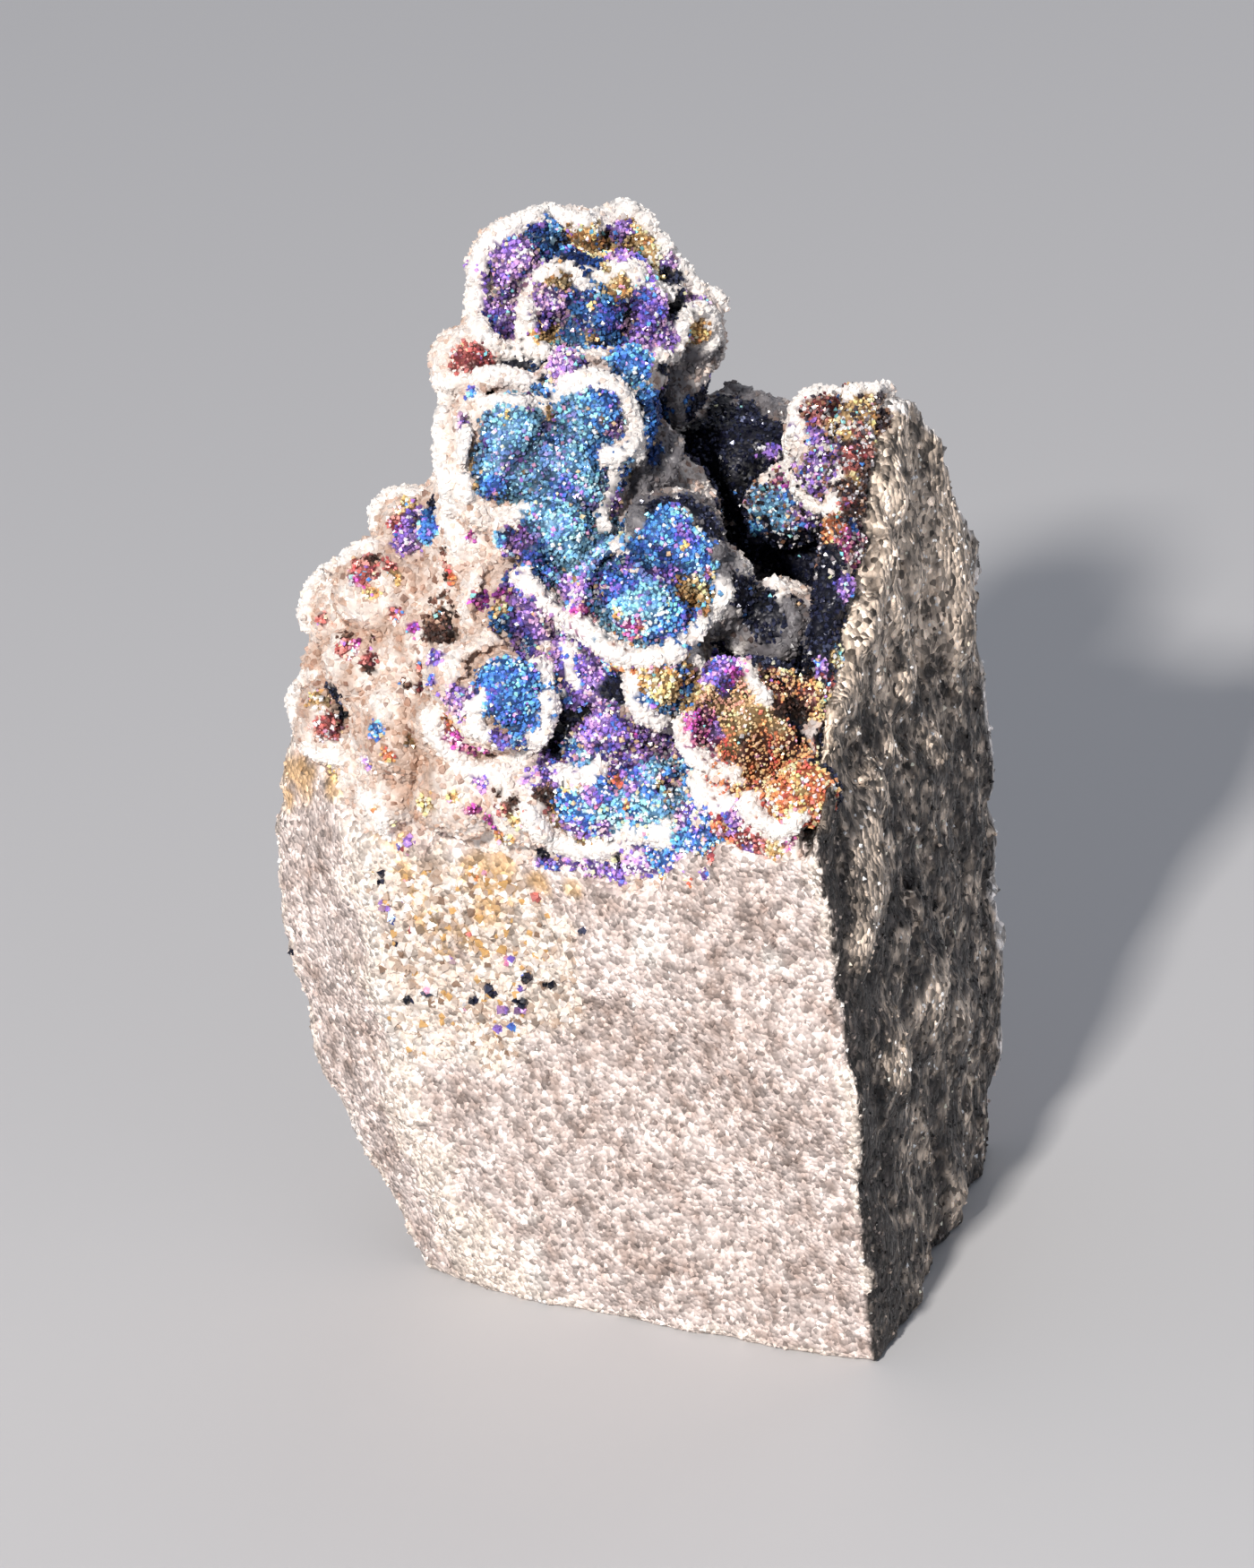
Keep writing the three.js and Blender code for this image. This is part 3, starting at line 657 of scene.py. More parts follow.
def rock_solid(grid, bulges=None):
    """Distance to the rock, roughened if the right face's bulges are given, and what its colours
    need: the distances to its sides and to its top, and the nearest face and the depth from
    block_field."""
    side, face, edge = block_field(grid)
    height, steep = torn_top(grid)
    top = (grid.axes[2][None, None, :] - height[:, :, None]) / steep[:, :, None]
    if bulges is not None:
        index, p = grid.near(side, 2.2)
        which = face[index]
        broad = 0.45 * (noise(p, np.array([7, 7, 9.0])) + 0.6 * noise(p, np.array([3, 3, 4.0])))
        grainy = 0.12 * noise(p, 0.62, 5) + 0.06 * noise(p, 0.36, 6)
        chip = np.maximum(noise(p, 1.7, 10) - 0.05, 0) * np.exp(-np.maximum(edge[index], 0) / 0.8)
        right = which == RIGHT_FACE
        coarse = (which != FRONT_FACE) & (which != LEFT_FACET) & ~right
        side[index] -= (
            broad
            + grainy * np.where(coarse, 1.6, 1)
            + np.where(right, fibres(p, bulges), 0)
            + np.where(coarse, 0.22 * noise(p, 1.3, 11), 0)
            - 0.9 * chip
        )
        grid.roughen(top, 1.5, (0.3, 0.9, 12), (0.15, 0.4, 13))
    bottom = -grid.axes[2][None, None, :]
    return np.maximum(np.maximum(side, top), bottom), side, top, face, edge


# ---------------------------------------------------------------- meshes


def mesh_piece(name, points, faces, colours, material, slot, replaces=None, second=None):
    """A piece of the specimen from points in the layout, with one colour a point. second is another
    material and whether each face has it, and a piece with one is smooth."""
    mesh = bpy.data.meshes.new(name)
    mesh.vertices.add(len(points))
    mesh.vertices.foreach_set("co", ((points + OFFSET) / 1000).astype(np.float32).ravel())
    mesh.loops.add(faces.size)
    mesh.loops.foreach_set("vertex_index", faces.astype(np.int32).ravel())
    mesh.polygons.add(len(faces))
    mesh.polygons.foreach_set("loop_start", np.arange(0, faces.size, faces.shape[1]))
    mesh.update(calc_edges=True)
    mesh.polygons.foreach_set("use_smooth", np.full(len(faces), second is not None))
    tint = mesh.color_attributes.new("tint", "FLOAT_COLOR", "POINT")
    rgba = np.ones((len(points), 4), np.float32)
    rgba[:, :3] = colours
    tint.data.foreach_set("color", rgba.ravel())
    mesh.materials.append(material)
    if second is not None:
        mesh.materials.append(second[0])
        mesh.polygons.foreach_set("material_index", second[1].astype(np.int32))
    obj = placed(name, mesh)
    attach(obj, "root")
    if replaces:
        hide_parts(replaces)


def normals_of(points, quads):
    """Outward direction at each point of a closed mesh of quads, each quad's centre and its own
    outward direction."""
    corners = points[quads]
    across = np.cross(corners[:, 2] - corners[:, 0], corners[:, 3] - corners[:, 1])
    total = np.zeros_like(points)
    for i in range(4):
        np.add.at(total, quads[:, i], across)
    total /= np.maximum(np.linalg.norm(total, axis=1, keepdims=True), 1e-9)
    across /= np.maximum(np.linalg.norm(across, axis=1, keepdims=True), 1e-9)
    return total, corners.mean(axis=1), across


def scattered(rng, places, spacing):
    """A random choice of places, about spacing apart: the first that falls in each cell."""
    order = rng.permutation(len(places))
    keys = np.floor(places[order] / spacing).astype(np.int64)
    _, first = np.unique(keys, axis=0, return_index=True)
    return order[np.sort(first)]


def turns(rng, count):
    """Random rotation matrices."""
    q = rng.normal(size=(count, 4))
    w, x, y, z = (q / np.linalg.norm(q, axis=1, keepdims=True)).T
    rows = [
        [1 - 2 * (y * y + z * z), 2 * (x * y - z * w), 2 * (x * z + y * w)],
        [2 * (x * y + z * w), 1 - 2 * (x * x + z * z), 2 * (y * z - x * w)],
        [2 * (x * z - y * w), 2 * (y * z + x * w), 1 - 2 * (x * x + y * y)],
    ]
    return np.array(rows).transpose(2, 0, 1)


# Forms of a crystal of radius 1: its corners, and its faces by their numbers.
OCTAHEDRON = (
    np.array([(1, 0, 0), (-1, 0, 0), (0, 1, 0), (0, -1, 0), (0, 0, 1), (0, 0, -1)], float),
    np.array([(0, 2, 4), (2, 1, 4), (1, 3, 4), (3, 0, 4), (2, 0, 5), (1, 2, 5), (3, 1, 5), (0, 3, 5)]),
)
HEXAGON = [(math.cos(math.radians(60 * i)), math.sin(math.radians(60 * i)), 0) for i in range(6)]
BIPYRAMID = (
    np.array([*HEXAGON, (0, 0, 1.1), (0, 0, -1.1)]),
    np.array([(i, (i + 1) % 6, 6) for i in range(6)] + [((i + 1) % 6, i, 7) for i in range(6)]),
)

# Of each kind of crystal the least and greatest radius, how far apart they stand and how far each is
# moved at random, in millimetres. The bands' sugar is finer than the rest, and stray crystals stand in
# groups. SUNK is how deep grains and sugar are set in.
GRAIN_SIZE, GRAIN_SPACING, GRAIN_SHIFT = (0.12, 0.22), 0.5, 0.08
BAND_SIZE, BAND_SPACING = (0.14, 0.27), 0.38
SUGAR_SIZE, SUGAR_SPACING, SUGAR_SHIFT = (0.16, 0.32), 0.44, 0.06
ORE_SIZE, ORE_SPACING, ORE_SHIFT = (0.1, 0.21), 0.23, 0.15
STRAY_SIZE, STRAY_GROUP, STRAY_SHIFT = (0.2, 0.38), 3, 0.22
SUNK = 0.06


def shifted(rng, places, most):
    """Places moved at random, by up to most along each axis."""
    return places + rng.uniform(-most, most, places.shape)


def crystals(name, rng, places, sizes, colours, form, uneven, material, slot):
    """One small crystal at each place, turned at random, joined in one mesh."""
    shape, faces = form
    count, corners = len(places), len(shape)
    local = shape[None] * (1 + uneven * rng.uniform(-1, 1, (count, corners, 1)))
    local = np.einsum("nij,nkj->nki", turns(rng, count), local) * sizes[:, None, None]
    points = (places[:, None] + local).reshape(-1, 3)
    linked = (faces[None] + corners * np.arange(count)[:, None, None]).reshape(-1, 3)
    tints = np.repeat(np.clip(colours, 0, 0.95), corners, axis=0)
    mesh_piece(name, points, linked, tints, material, slot)


def in_two(name, rng, places, sizes, colours, *rest):
    """Crystals as two pieces, the lower half of them and the upper half."""
    order = np.argsort(places[:, 2])
    middle = len(order) // 2
    for level, part in (("_lower", order[:middle]), ("_upper", order[middle:])):
        crystals(name + level, rng, places[part], sizes[part], colours[part], *rest)


# ---------------------------------------------------------------- materials

LEAN = math.radians(6)  # of the grains, from upright


def new_material(name):
    """A material, and the inputs of its shader."""
    material = bpy.data.materials.new(name)
    material.use_nodes = True
    return material, material.node_tree.nodes["Principled BSDF"].inputs


def textured(name, roughness, metallic, grain, shade, bump, stretch=1):
    """A material whose colour is the piece's own tint, varied from grain to grain.

    roughness is a least and a greatest, grain the size of a grain in millimetres, shade how far one
    grain's brightness is from the next, bump the height of the grains in millimetres and stretch how
    many times as tall as wide they are."""
    material, shader = new_material(name)

    def fill(sockets, values):
        """Set each named socket to a value, or link it to another node's output."""
        for socket, value in values.items():
            if isinstance(value, bpy.types.NodeSocket):
                material.node_tree.links.new(value, sockets[socket])
            else:
                sockets[socket].default_value = value

    def node(kind, values, **settings):
        """The outputs of a new node."""
        made = material.node_tree.nodes.new("ShaderNode" + kind)
        for setting, value in settings.items():
            setattr(made, setting, value)
        fill(made.inputs, values)
        return made.outputs

    def ranged(value, low, high, start=0, end=1):
        """A value carried from a range of its own to another."""
        ends = {"From Min": start, "From Max": end, "To Min": low, "To Max": high}
        return node("MapRange", {"Value": value, **ends})["Result"]

    def product(a, b):
        return node("Math", {0: a, 1: b}, operation="MULTIPLY")["Value"]

    tint = node("VertexColor", {}, layer_name="tint")["Color"]
    place = node("TexCoord", {})["Object"]
    stretched = {"Scale": (1, 1, 1 / stretch), "Rotation": (0, LEAN, 0)}
    tall = node("Mapping", {"Vector": place, **stretched})["Vector"]
    crystal = node("TexVoronoi", {"Vector": tall, "Scale": 1000 / grain})
    mottle = node("TexNoise", {"Vector": tall, "Scale": 1000 / (4 * grain), "Detail": 4})["Fac"]
    split = node("SeparateColor", {"Color": crystal["Color"]})

    light = ranged(split["Red"], 1 - shade, 1 + shade)
    speck = ranged(split["Blue"], 1, 1 + shade, 0.82, 0.9)
    patch = ranged(mottle, 1 - shade / 2, 1 + shade / 2, 0.3, 0.7)
    bright = product(product(light, speck), patch)
    colour = node("VectorMath", {0: tint, "Scale": bright}, operation="SCALE")["Vector"]
    rough = ranged(split["Green"], *roughness)
    rise = {"Distance": bump / 1000, "Height": crystal["Distance"]}
    normal = node("Bump", rise, invert=True)["Normal"]
    fill(shader, {"Base Color": colour, "Metallic": metallic, "Roughness": rough, "Normal": normal})
    return material


ROCK = textured("granular_rock", (0.3, 0.9), 0, 0.3, 0.5, 0.2)
BARK = textured("fibrous_rock", (0.2, 0.7), 0, 0.3, 0.85, 0.3, 1.5)
DRUSE = textured("quartz_druse", (0.3, 0.7), 0, 0.4, 0.16, 0.1)
SUGAR = textured("quartz_sugar", (0.15, 0.5), 0, 0.3, 0.08, 0.02)
TARNISH = textured("tarnished_crust", (0.3, 0.6), 0.3, 0.3, 0.4, 0.06)
ORE = textured("tarnished_crystals", (0.12, 0.4), 0.2, 0.2, 0.2, 0.01)

# ---------------------------------------------------------------- colours

WHITE = np.array([0.84, 0.77, 0.72])
RIM_WHITE = np.array([0.93, 0.88, 0.84])
# BLUSH is the druse's own pink beige on the left and also its painted shade in crevices there; SHADED is the
# painted grey shade in its crevices elsewhere.
BLUSH = np.array([0.54, 0.39, 0.31])
SHADED = np.array([0.5, 0.44, 0.43])
CREAM = np.array([0.86, 0.75, 0.66])
BEIGE = np.array([0.5, 0.38, 0.3])
STAIN = np.array([0.6, 0.36, 0.14])
BROWN = np.array([0.26, 0.17, 0.12])
PALE_ROCK = np.array([0.76, 0.65, 0.61])
DEEP_ROCK = np.array([0.36, 0.275, 0.24])
# On the right face: DARK_ROCK is its dark tone deepened by painted shade, TAN_ROCK a painted highlight where
# light grazes it, and CREST_ROCK pale along its crest and a painted highlight along its far edge.
DARK_ROCK = np.array([0.042, 0.035, 0.032])
TAN_ROCK = np.array([0.7, 0.57, 0.46])
CREST_ROCK = np.array([0.85, 0.8, 0.77])
# DUSK is the painted shade put on the druse in the shade of the crown and inside the hollow.
DUSK = np.array([0.09, 0.085, 0.1])

# What a grain's colour is multiplied by, on the druse, on most of the rock and on its right face, and
# the colours that coat grains on the rock's patches of druse, each with the share of every choice.
DRUSE_GRAINS = np.array(
    [(1, 1, 1), (0.98, 0.88, 0.82), (0.9, 0.76, 0.7), (0.74, 0.6, 0.52), (0.5, 0.38, 0.34)]
)
DRUSE_SHARES = (0.56, 0.22, 0.12, 0.07, 0.03)
SHADES, SHADE_SHARES = (0.5, 0.8, 1.1, 1.35, 1.6), (0.2, 0.2, 0.25, 0.2, 0.15)
GLINTS, GLINT_SHARES = (0.3, 1, 2.5, 6), (0.3, 0.25, 0.25, 0.2)
COATS = np.array([WHITE, CREAM, BEIGE, STAIN, BROWN])
COAT_SHARES = (0.34, 0.3, 0.2, 0.1, 0.06)

# Each ink is a run of six colours from its deepest to its palest.
INKS = {
    "blue": [
        (0.36, 0.18, 0.6), (0.07, 0.1, 0.48), (0.08, 0.24, 0.7), (0.13, 0.4, 0.85), (0.28, 0.6, 0.93),
        (0.62, 0.82, 0.96),
    ],
    "teal": [
        (0.48, 0.36, 0.78), (0.2, 0.34, 0.75), (0.22, 0.5, 0.82), (0.32, 0.66, 0.88), (0.5, 0.8, 0.93),
        (0.82, 0.93, 0.96),
    ],
    "violet": [
        (0.06, 0.16, 0.55), (0.16, 0.1, 0.48), (0.34, 0.2, 0.64), (0.56, 0.32, 0.66), (0.82, 0.54, 0.64),
        (0.94, 0.78, 0.7),
    ],
    "magenta": [
        (0.16, 0.06, 0.36), (0.4, 0.08, 0.42), (0.62, 0.1, 0.4), (0.8, 0.28, 0.46), (0.88, 0.5, 0.46),
        (0.92, 0.74, 0.7),
    ],
    "gold": [
        (0.4, 0.16, 0.07), (0.68, 0.36, 0.14), (0.86, 0.54, 0.24), (0.94, 0.68, 0.36), (0.96, 0.8, 0.52),
        (0.97, 0.9, 0.72),
    ],
    "orange": [
        (0.32, 0.04, 0.06), (0.66, 0.13, 0.1), (0.88, 0.27, 0.12), (0.95, 0.42, 0.17), (0.95, 0.6, 0.32),
        (0.96, 0.78, 0.55),
    ],
    "rust": [
        (0.08, 0.025, 0.04), (0.24, 0.05, 0.06), (0.42, 0.11, 0.1), (0.58, 0.22, 0.2), (0.7, 0.4, 0.33),
        (0.85, 0.65, 0.56),
    ],
    # Near black: painted shade in the hollow, in shadowed gaps and between lumps, over the crust's own dark
    # tarnish.
    "dark": [
        (0.006, 0.007, 0.015), (0.009, 0.011, 0.026), (0.014, 0.015, 0.036), (0.02, 0.024, 0.05),
        (0.035, 0.042, 0.08), (0.14, 0.16, 0.26),
    ],
    "navy": [
        (0.006, 0.01, 0.05), (0.008, 0.025, 0.11), (0.012, 0.045, 0.18), (0.02, 0.08, 0.26),
        (0.05, 0.18, 0.38), (0.2, 0.4, 0.6),
    ],
    "bark": [
        (0.02, 0.014, 0.013), (0.045, 0.025, 0.02), (0.09, 0.045, 0.035), (0.16, 0.08, 0.06),
        (0.28, 0.17, 0.12), (0.55, 0.42, 0.34),
    ],
}
INK_TABLE = np.array(list(INKS.values()))
INK_NUMBER = {name: number for number, name in enumerate(INKS)}
DIM_INKS = [INK_NUMBER[name] for name in ("dark", "navy", "bark")]
WARM_INKS = [INK_NUMBER[name] for name in ("gold", "orange", "rust")]

# Colours of odd crystals, of which the motley lumps have the first four and the two whites are
# painted glints, those of quiet crystals on the peak, and the run that the warm inks have in the fan.
ODD_COLOURS_AND_GLINTS = np.array([
    (0.92, 0.92, 0.95), (0.92, 0.92, 0.95), (0.82, 0.42, 0.6), (0.95, 0.66, 0.4), (0.3, 0.8, 0.88),
    (0.42, 0.2, 0.66), (0.1, 0.3, 0.8),
])
QUIET_COLOURS = np.array([
    (0.02, 0.015, 0.02), (0.04, 0.03, 0.04), (0.12, 0.1, 0.11), (0.45, 0.42, 0.44), (0.26, 0.13, 0.08),
    (0.8, 0.78, 0.78),
])
FAN_RUN = np.array([
    (0.5, 0.05, 0.08), (0.82, 0.19, 0.13), (1, 0.38, 0.17), (1, 0.57, 0.27), (1, 0.72, 0.4), (1, 0.5, 0.4),
])


def ink_colours(ink, p, rng):
    """A colour for each crystal. Its place in its ink's run drifts over a lump, in upright streaks in
    the fan. Some crystals are odd ones, the white of which are painted glints, most of all on the motley
    lumps, and half of those on the peak are quiet ones."""
    drift = 0.45 + 0.36 * noise(p, 1.3, 61) + 0.28 * noise(p, 0.5, 62)
    fan = (near_marks(p, [FAN]) < 1.05) & np.isin(ink, WARM_INKS)
    upright = 0.58 + 0.6 * noise(p, np.array([0.45, 0.45, 2.4]), 63) + 0.25 * (p[:, 2] - FAN[2]) / FAN[3]
    drift = np.where(fan, upright, drift)
    place = np.clip(drift + rng.normal(0, 0.14, len(p)) * np.where(fan, 0.5, 1), 0, 0.999) * 5
    step = np.floor(place).astype(int)
    run = np.where(fan[:, None, None], FAN_RUN, INK_TABLE[ink])
    row = np.arange(len(p))
    colours = mix(run[row, step], run[row, step + 1], (place - step)[:, None])
    motley = p[:, 2] < MOTLEY_TOP
    chance = np.where(np.isin(ink, DIM_INKS), 0.02, np.where(fan, 0.04, np.where(motley, 0.28, 0.15)))
    odd = rng.random(len(p)) < chance
    colours[odd] = ODD_COLOURS_AND_GLINTS[rng.integers(0, np.where(motley[odd], 4, len(ODD_COLOURS_AND_GLINTS)))]
    peak = near_marks(p, [PEAK]) < 1
    quiet = peak & (rng.random(len(p)) < 0.5)
    colours[quiet] = QUIET_COLOURS[rng.integers(0, len(QUIET_COLOURS), quiet.sum())]
    uneven = rng.normal(0, 0.38, len(p)) * np.where(fan, 0.6, 1) - 0.3 * peak
    return colours * np.clip(np.exp(uneven), 0.4, 1.9)[:, None]


# ---------------------------------------------------------------- the rock

rng = np.random.default_rng(7)
rock_grid = Field(*ROCK_BLOCK, ROCK_PITCH)
plain_rock = rock_solid(rock_grid)[0]
bulges = rock_grid.marked(plain_rock, BULGES)
druse_patches = rock_grid.marked(plain_rock, DRUSE_PATCHES)
gold_marks = rock_grid.marked(plain_rock, ROCK_GOLD)
white_marks = rock_grid.marked(plain_rock, ROCK_WHITE)
rock, _, rock_top, rock_face, rock_edge = rock_solid(rock_grid, bulges)


def right_face_tints(p, edge):
    """Colour of the right face: near black, its own dark tone deepened by painted shade; tan as a painted
    highlight on its swellings and upper part; darker near its front edge, a painted shadow of the growth;
    pale along its crest, with a painted highlight along its far edge.
    """
    streak_and_light = 0.42 + 0.5 * noise(p, np.array([1.2, 1.2, 2.6]), 44) + 0.6 * noise(p, 0.5, 45)
    # Painted light: lighter on the upper part, and a painted shadow of the growth near the front edge.
    streak_and_light = streak_and_light + 0.5 * ramp(p[:, 2], 28, 42) - 0.5 * (1 - ramp(p[:, 1], 1, 8))
    # lit is a painted highlight where light grazes the swellings and the bulges.
    lit = np.clip(ramp(streak_and_light, 0.25, 1.25) + 0.75 * spots(p, bulges), 0, 1)
    tint = mix(DARK_ROCK, TAN_ROCK, lit[:, None])
    crest = 1 - ramp(-rock_grid.at(rock_top, p) + 0.3 * noise(p, 0.8, 48), 0.05, 0.6)
    # A painted highlight along the far edge.
    far_edge = (1 - ramp(edge + 0.2 * noise(p, 1, 49), 0.2, 0.9)) * (p[:, 1] > FAR_EDGE_START)
    return mix(tint, CREST_ROCK, 0.95 * np.maximum(crest * (p[:, 1] > CREST_START), far_edge)[:, None])


def rock_tints(p):
    """Colour of the rock: mottled, stained and coated in places, and dark on the right face, with painted
    shade and painted highlights there. Also how far each point is on a patch of druse and on a rim, and
    whether it is on the right face."""
    face, edge = rock_grid.at(rock_face, p), rock_grid.at(rock_edge, p)
    mottle = 0.6 + 0.25 * noise(p, 2.6, 41) + 0.22 * noise(p, 1.1, 42) + 0.45 * noise(p, 0.5, 43)
    tint = mix(DEEP_ROCK, PALE_ROCK, ramp(mottle, 0.05, 0.95)[:, None])
    rim = (1 - ramp(edge + 0.5 * noise(p, 1.2, 46), 0.25, 0.9)) * np.isin(face, (LEFT_FACET, FRONT_FACE))
    foot = 1 - ramp(p[:, 2] + 0.5 * noise(p, 1.2, 47), 0.2, 0.9)
    tint = mix(tint, CREAM, 0.75 * np.maximum(rim, foot)[:, None])
    druse = spots(p, druse_patches, 0.25)
    tint = mix(tint, mix(0.8 * BEIGE, CREAM, ramp(mottle, 0, 1)[:, None]), 0.9 * druse[:, None])
    tint = mix(tint, STAIN, 0.7 * spots(p, gold_marks)[:, None])
    tint = mix(tint, WHITE, 0.85 * spots(p, white_marks)[:, None])
    right = face == RIGHT_FACE
    tint[right] = right_face_tints(p[right], edge[right])
    return tint, druse, rim, right


points, quads = rock_grid.surface(rock)
_, centres, across = normals_of(points, quads)
fibrous = rock_grid.at(rock_face, centres) == RIGHT_FACE
tints = rock_tints(points)[0]
mesh_piece("rock", points, quads, tints, ROCK, "host_rock", "host_rock", (BARK, fibrous))

# Grains of the rock, except under the growth and on the underside.
exposed = (rock_grid.at(rock_top, centres) < -0.5) & (centres[:, 2] > 0.15)
centres, across = centres[exposed], across[exposed]
tints, druse, rim, right = rock_tints(centres)
keep = scattered(rng, centres, GRAIN_SPACING)
keep = keep[rng.random(len(keep)) < np.where(right[keep], 0.5, 0.55) + 0.5 * druse[keep] + rim[keep]]
centres, across, tints, druse, right = (a[keep] for a in (centres, across, tints, druse, right))
size = rng.uniform(*GRAIN_SIZE, len(keep)) * (1 + 0.9 * druse) * np.where(right, 0.85, 1)
shade = rng.choice(SHADES, len(keep), p=SHADE_SHARES)
glint = rng.choice(GLINTS, len(keep), p=GLINT_SHARES)
tints = tints * np.where(right, glint, shade)[:, None]
coat = COATS[rng.choice(len(COATS), len(keep), p=COAT_SHARES)]
tints = np.where((rng.random(len(keep)) < 0.85 * druse)[:, None], coat, tints)
places = shifted(rng, centres - SUNK * across, GRAIN_SHIFT)
places[:, 2] = np.maximum(places[:, 2], size)
crystals("rock_grains", rng, places, size, tints, OCTAHEDRON, 0.3, SUGAR, "host_rock")

for name, marks in STRAY_CRYSTALS.items():
    places = np.repeat(rock_grid.seen(plain_rock, marks)[0], STRAY_GROUP, axis=0)
    places = shifted(rng, places, STRAY_SHIFT)
    colours = ink_colours(np.full(len(places), INK_NUMBER[name]), places, rng)
    size = rng.uniform(*STRAY_SIZE, len(places))
    crystals("stray_" + name, rng, places, size, colours, OCTAHEDRON, 0.2, ORE, "host_rock")

# ---------------------------------------------------------------- the growth

# The lining of the torn top, kept in from the block's sides and clear of the right wall's crest, and
# thinner over the peak.
grid = Field(*GROWTH_BLOCK, GROWTH_PITCH)
bare, side, top, _, _ = rock_solid(grid)
inset = side + CRUST_INSET
shift = round(CREST_WIDTH / grid.pitch)
clear = np.full_like(inset, 9)
clear[:-shift] = inset[shift:]
above = grid.axes[2] - torn_top(grid)[0][:, :, None]
thickest = CRUST * mix(1.7, 0.6, ramp(grid.axes[2], 48, 52))
lining = np.maximum(np.maximum(inset, clear), np.maximum(top - SEAT_GAP - CRUST, above - thickest))

# The lumps, with a window cut in each rim, and a cap in each window.
whole = grid.balls(WHOLE, 0.5)
rims = grid.balls([(x, y, z, r + RIM_HEIGHT) for x, y, z, r in RIMMED], 0.5)
openings = [
    (*(np.array([x, y, z]) + CAP_DIRECTION * WINDOW_REACH * r), WINDOW_RADIUS * r)
    for x, y, z, r in RIMMED
]
windows = grid.balls(openings, 0.3)
caps = grid.balls([(x, y, z, r + 0.25) for x, y, z, r in RIMMED + OPEN], 0.35)
outer = np.minimum(np.minimum(whole, rims), lining)
smooth_growth = np.minimum(np.maximum(outer, -windows), caps)


def knobs_on(shell, marks, proud, blend):
    """Balls sunk in a shell at marks on it, so that each stands proud by a share of its radius."""
    places, radius = marks[:, :3], marks[:, 3]
    sunk = places - grid.outward(shell, places) * (radius * (1 - proud))[:, None]
    return grid.balls(np.column_stack([sunk, radius]), blend)


lobes = knobs_on(smooth_growth, grid.marked(smooth_growth, LOBES), 0.34, 0.4)
shell = np.minimum(smooth_growth, lobes)


def inked_patches(field):
    """The tarnished patches as balls on a field's surface, with the hollow's in near black painted shadow,
    and the ink of each.
    """
    balls = [grid.marked(field, PATCHES[name]) for name in INKS]
    balls.append(np.array(HOLLOW))
    inks = [*INK_NUMBER.values(), INK_NUMBER["dark"]]
    return np.vstack(balls), np.repeat(inks, [len(group) for group in balls])


# A knob under each bright patch, lower in the fan, and a pit under each small dark one, painted near
# black as shade.
patches, patch_ink = inked_patches(shell)
lively = patches[~np.isin(patch_ink, DIM_INKS)]
proud = np.where(near_marks(lively[:, :3], [FAN]) < 1, 0.3, 0.5)
knobs = knobs_on(shell, lively, proud, 0.16)
gaps = patches[(patch_ink == INK_NUMBER["dark"]) & (patches[:, 3] < 0.75)]
pits = knobs_on(shell, gaps, 0.9, 0.2)

# The windows' relief is turned over, because they are cut out.
grid.roughen(windows, 1.2, (-0.45, 1.3, 21), (-0.2, 0.6, 22))
outer = np.minimum(outer, lobes)
grid.roughen(outer, 1.2, (0.16, 1.5, 23), (0.13, 0.7, 24))
lumps = np.minimum(caps, knobs)
index, p = grid.near(lumps, 1.2)
lumps[index] -= 0.14 * noise(p, 1.1, 25) + 0.1 * noise(p, 0.5, 26)
streaks = np.exp(-(near_marks(p, [FAN]) ** 4))
lumps[index] -= 0.7 * streaks * noise(p, np.array([0.7, 0.7, 3.2]), 29)
growth = np.minimum(np.maximum(outer, -windows), lumps)

lines = []
for half_width, line in RIDGES:
    laid, close = grid.seen(growth, along(line))
    lines.append((half_width / PER_MM, laid[close]))
ridges = grid.tubes(lines, 0.25)
grid.roughen(ridges, 1.6, (0.12, 1.6, 27), (0.12, 0.6, 28))
growth = joined(np.maximum(growth, -pits), ridges, 0.15)
growth = np.maximum(growth, -(bare + SEAT_GAP))
points, quads = grid.surface(growth)
patches, patch_ink = inked_patches(growth)
coloured = grid.marked(growth, COLOURED)
pale = grid.marked(growth, PALE)
painted_shade_marks = grid.marked(growth, PAINTED_SHADE_MARKS)


def inked(p, rng, batch=20000):
    """The nearest tarnished patch's ink at each point, and its distance in radii. With rng the choice
    is mixed where patches meet."""
    ink, score = np.zeros(len(p), int), np.zeros(len(p))
    for start in range(0, len(p), batch):
        part = slice(start, start + batch)
        away = np.linalg.norm(p[part, None] - patches[:, :3], axis=-1) / patches[:, 3]
        if rng is not None:
            away = away + rng.uniform(-0.3, 0.3, away.shape)
        best = away.argmin(axis=1)
        ink[part], score[part] = patch_ink[best], away.min(axis=1)
    return ink, score + 0.2 * noise(p, 0.9, 31) + 0.2 * noise(p, 0.4, 34)


def growth_zones(p, rng=None):
    """The tarnish's ink at each point, and where it is tarnished rather than white. The back has stray
    spots of tarnish, gold or violet where the nearest ink is a dim one."""
    ink, score = inked(p, rng)
    from_right = p[:, 0] * RIGHT_NORMAL[0] + p[:, 1] * RIGHT_NORMAL[1]
    wall_face = (from_right < WALL_FACE_DEPTH) & (p[:, 1] < WALL_FACE_END)
    white = (grid.at(ridges, p) < 0.12 + 0.08 * noise(p, 0.5, 38)) | inside(p, pale, 0.2)
    spotted = noise(p, 3.4, 35) + 0.5 * noise(p, 1.2, 36) > 0.62
    stray = (score >= 1) & (p[:, 1] > BACK_START) & spotted
    stray_ink = np.where(noise(p, 2.4, 39) > 0.1, INK_NUMBER["gold"], INK_NUMBER["violet"])
    ink = np.where(stray & np.isin(ink, DIM_INKS), stray_ink, ink)
    return ink, ~white & ((score < 1) | inside(p, coloured, 0.12) | wall_face | stray)


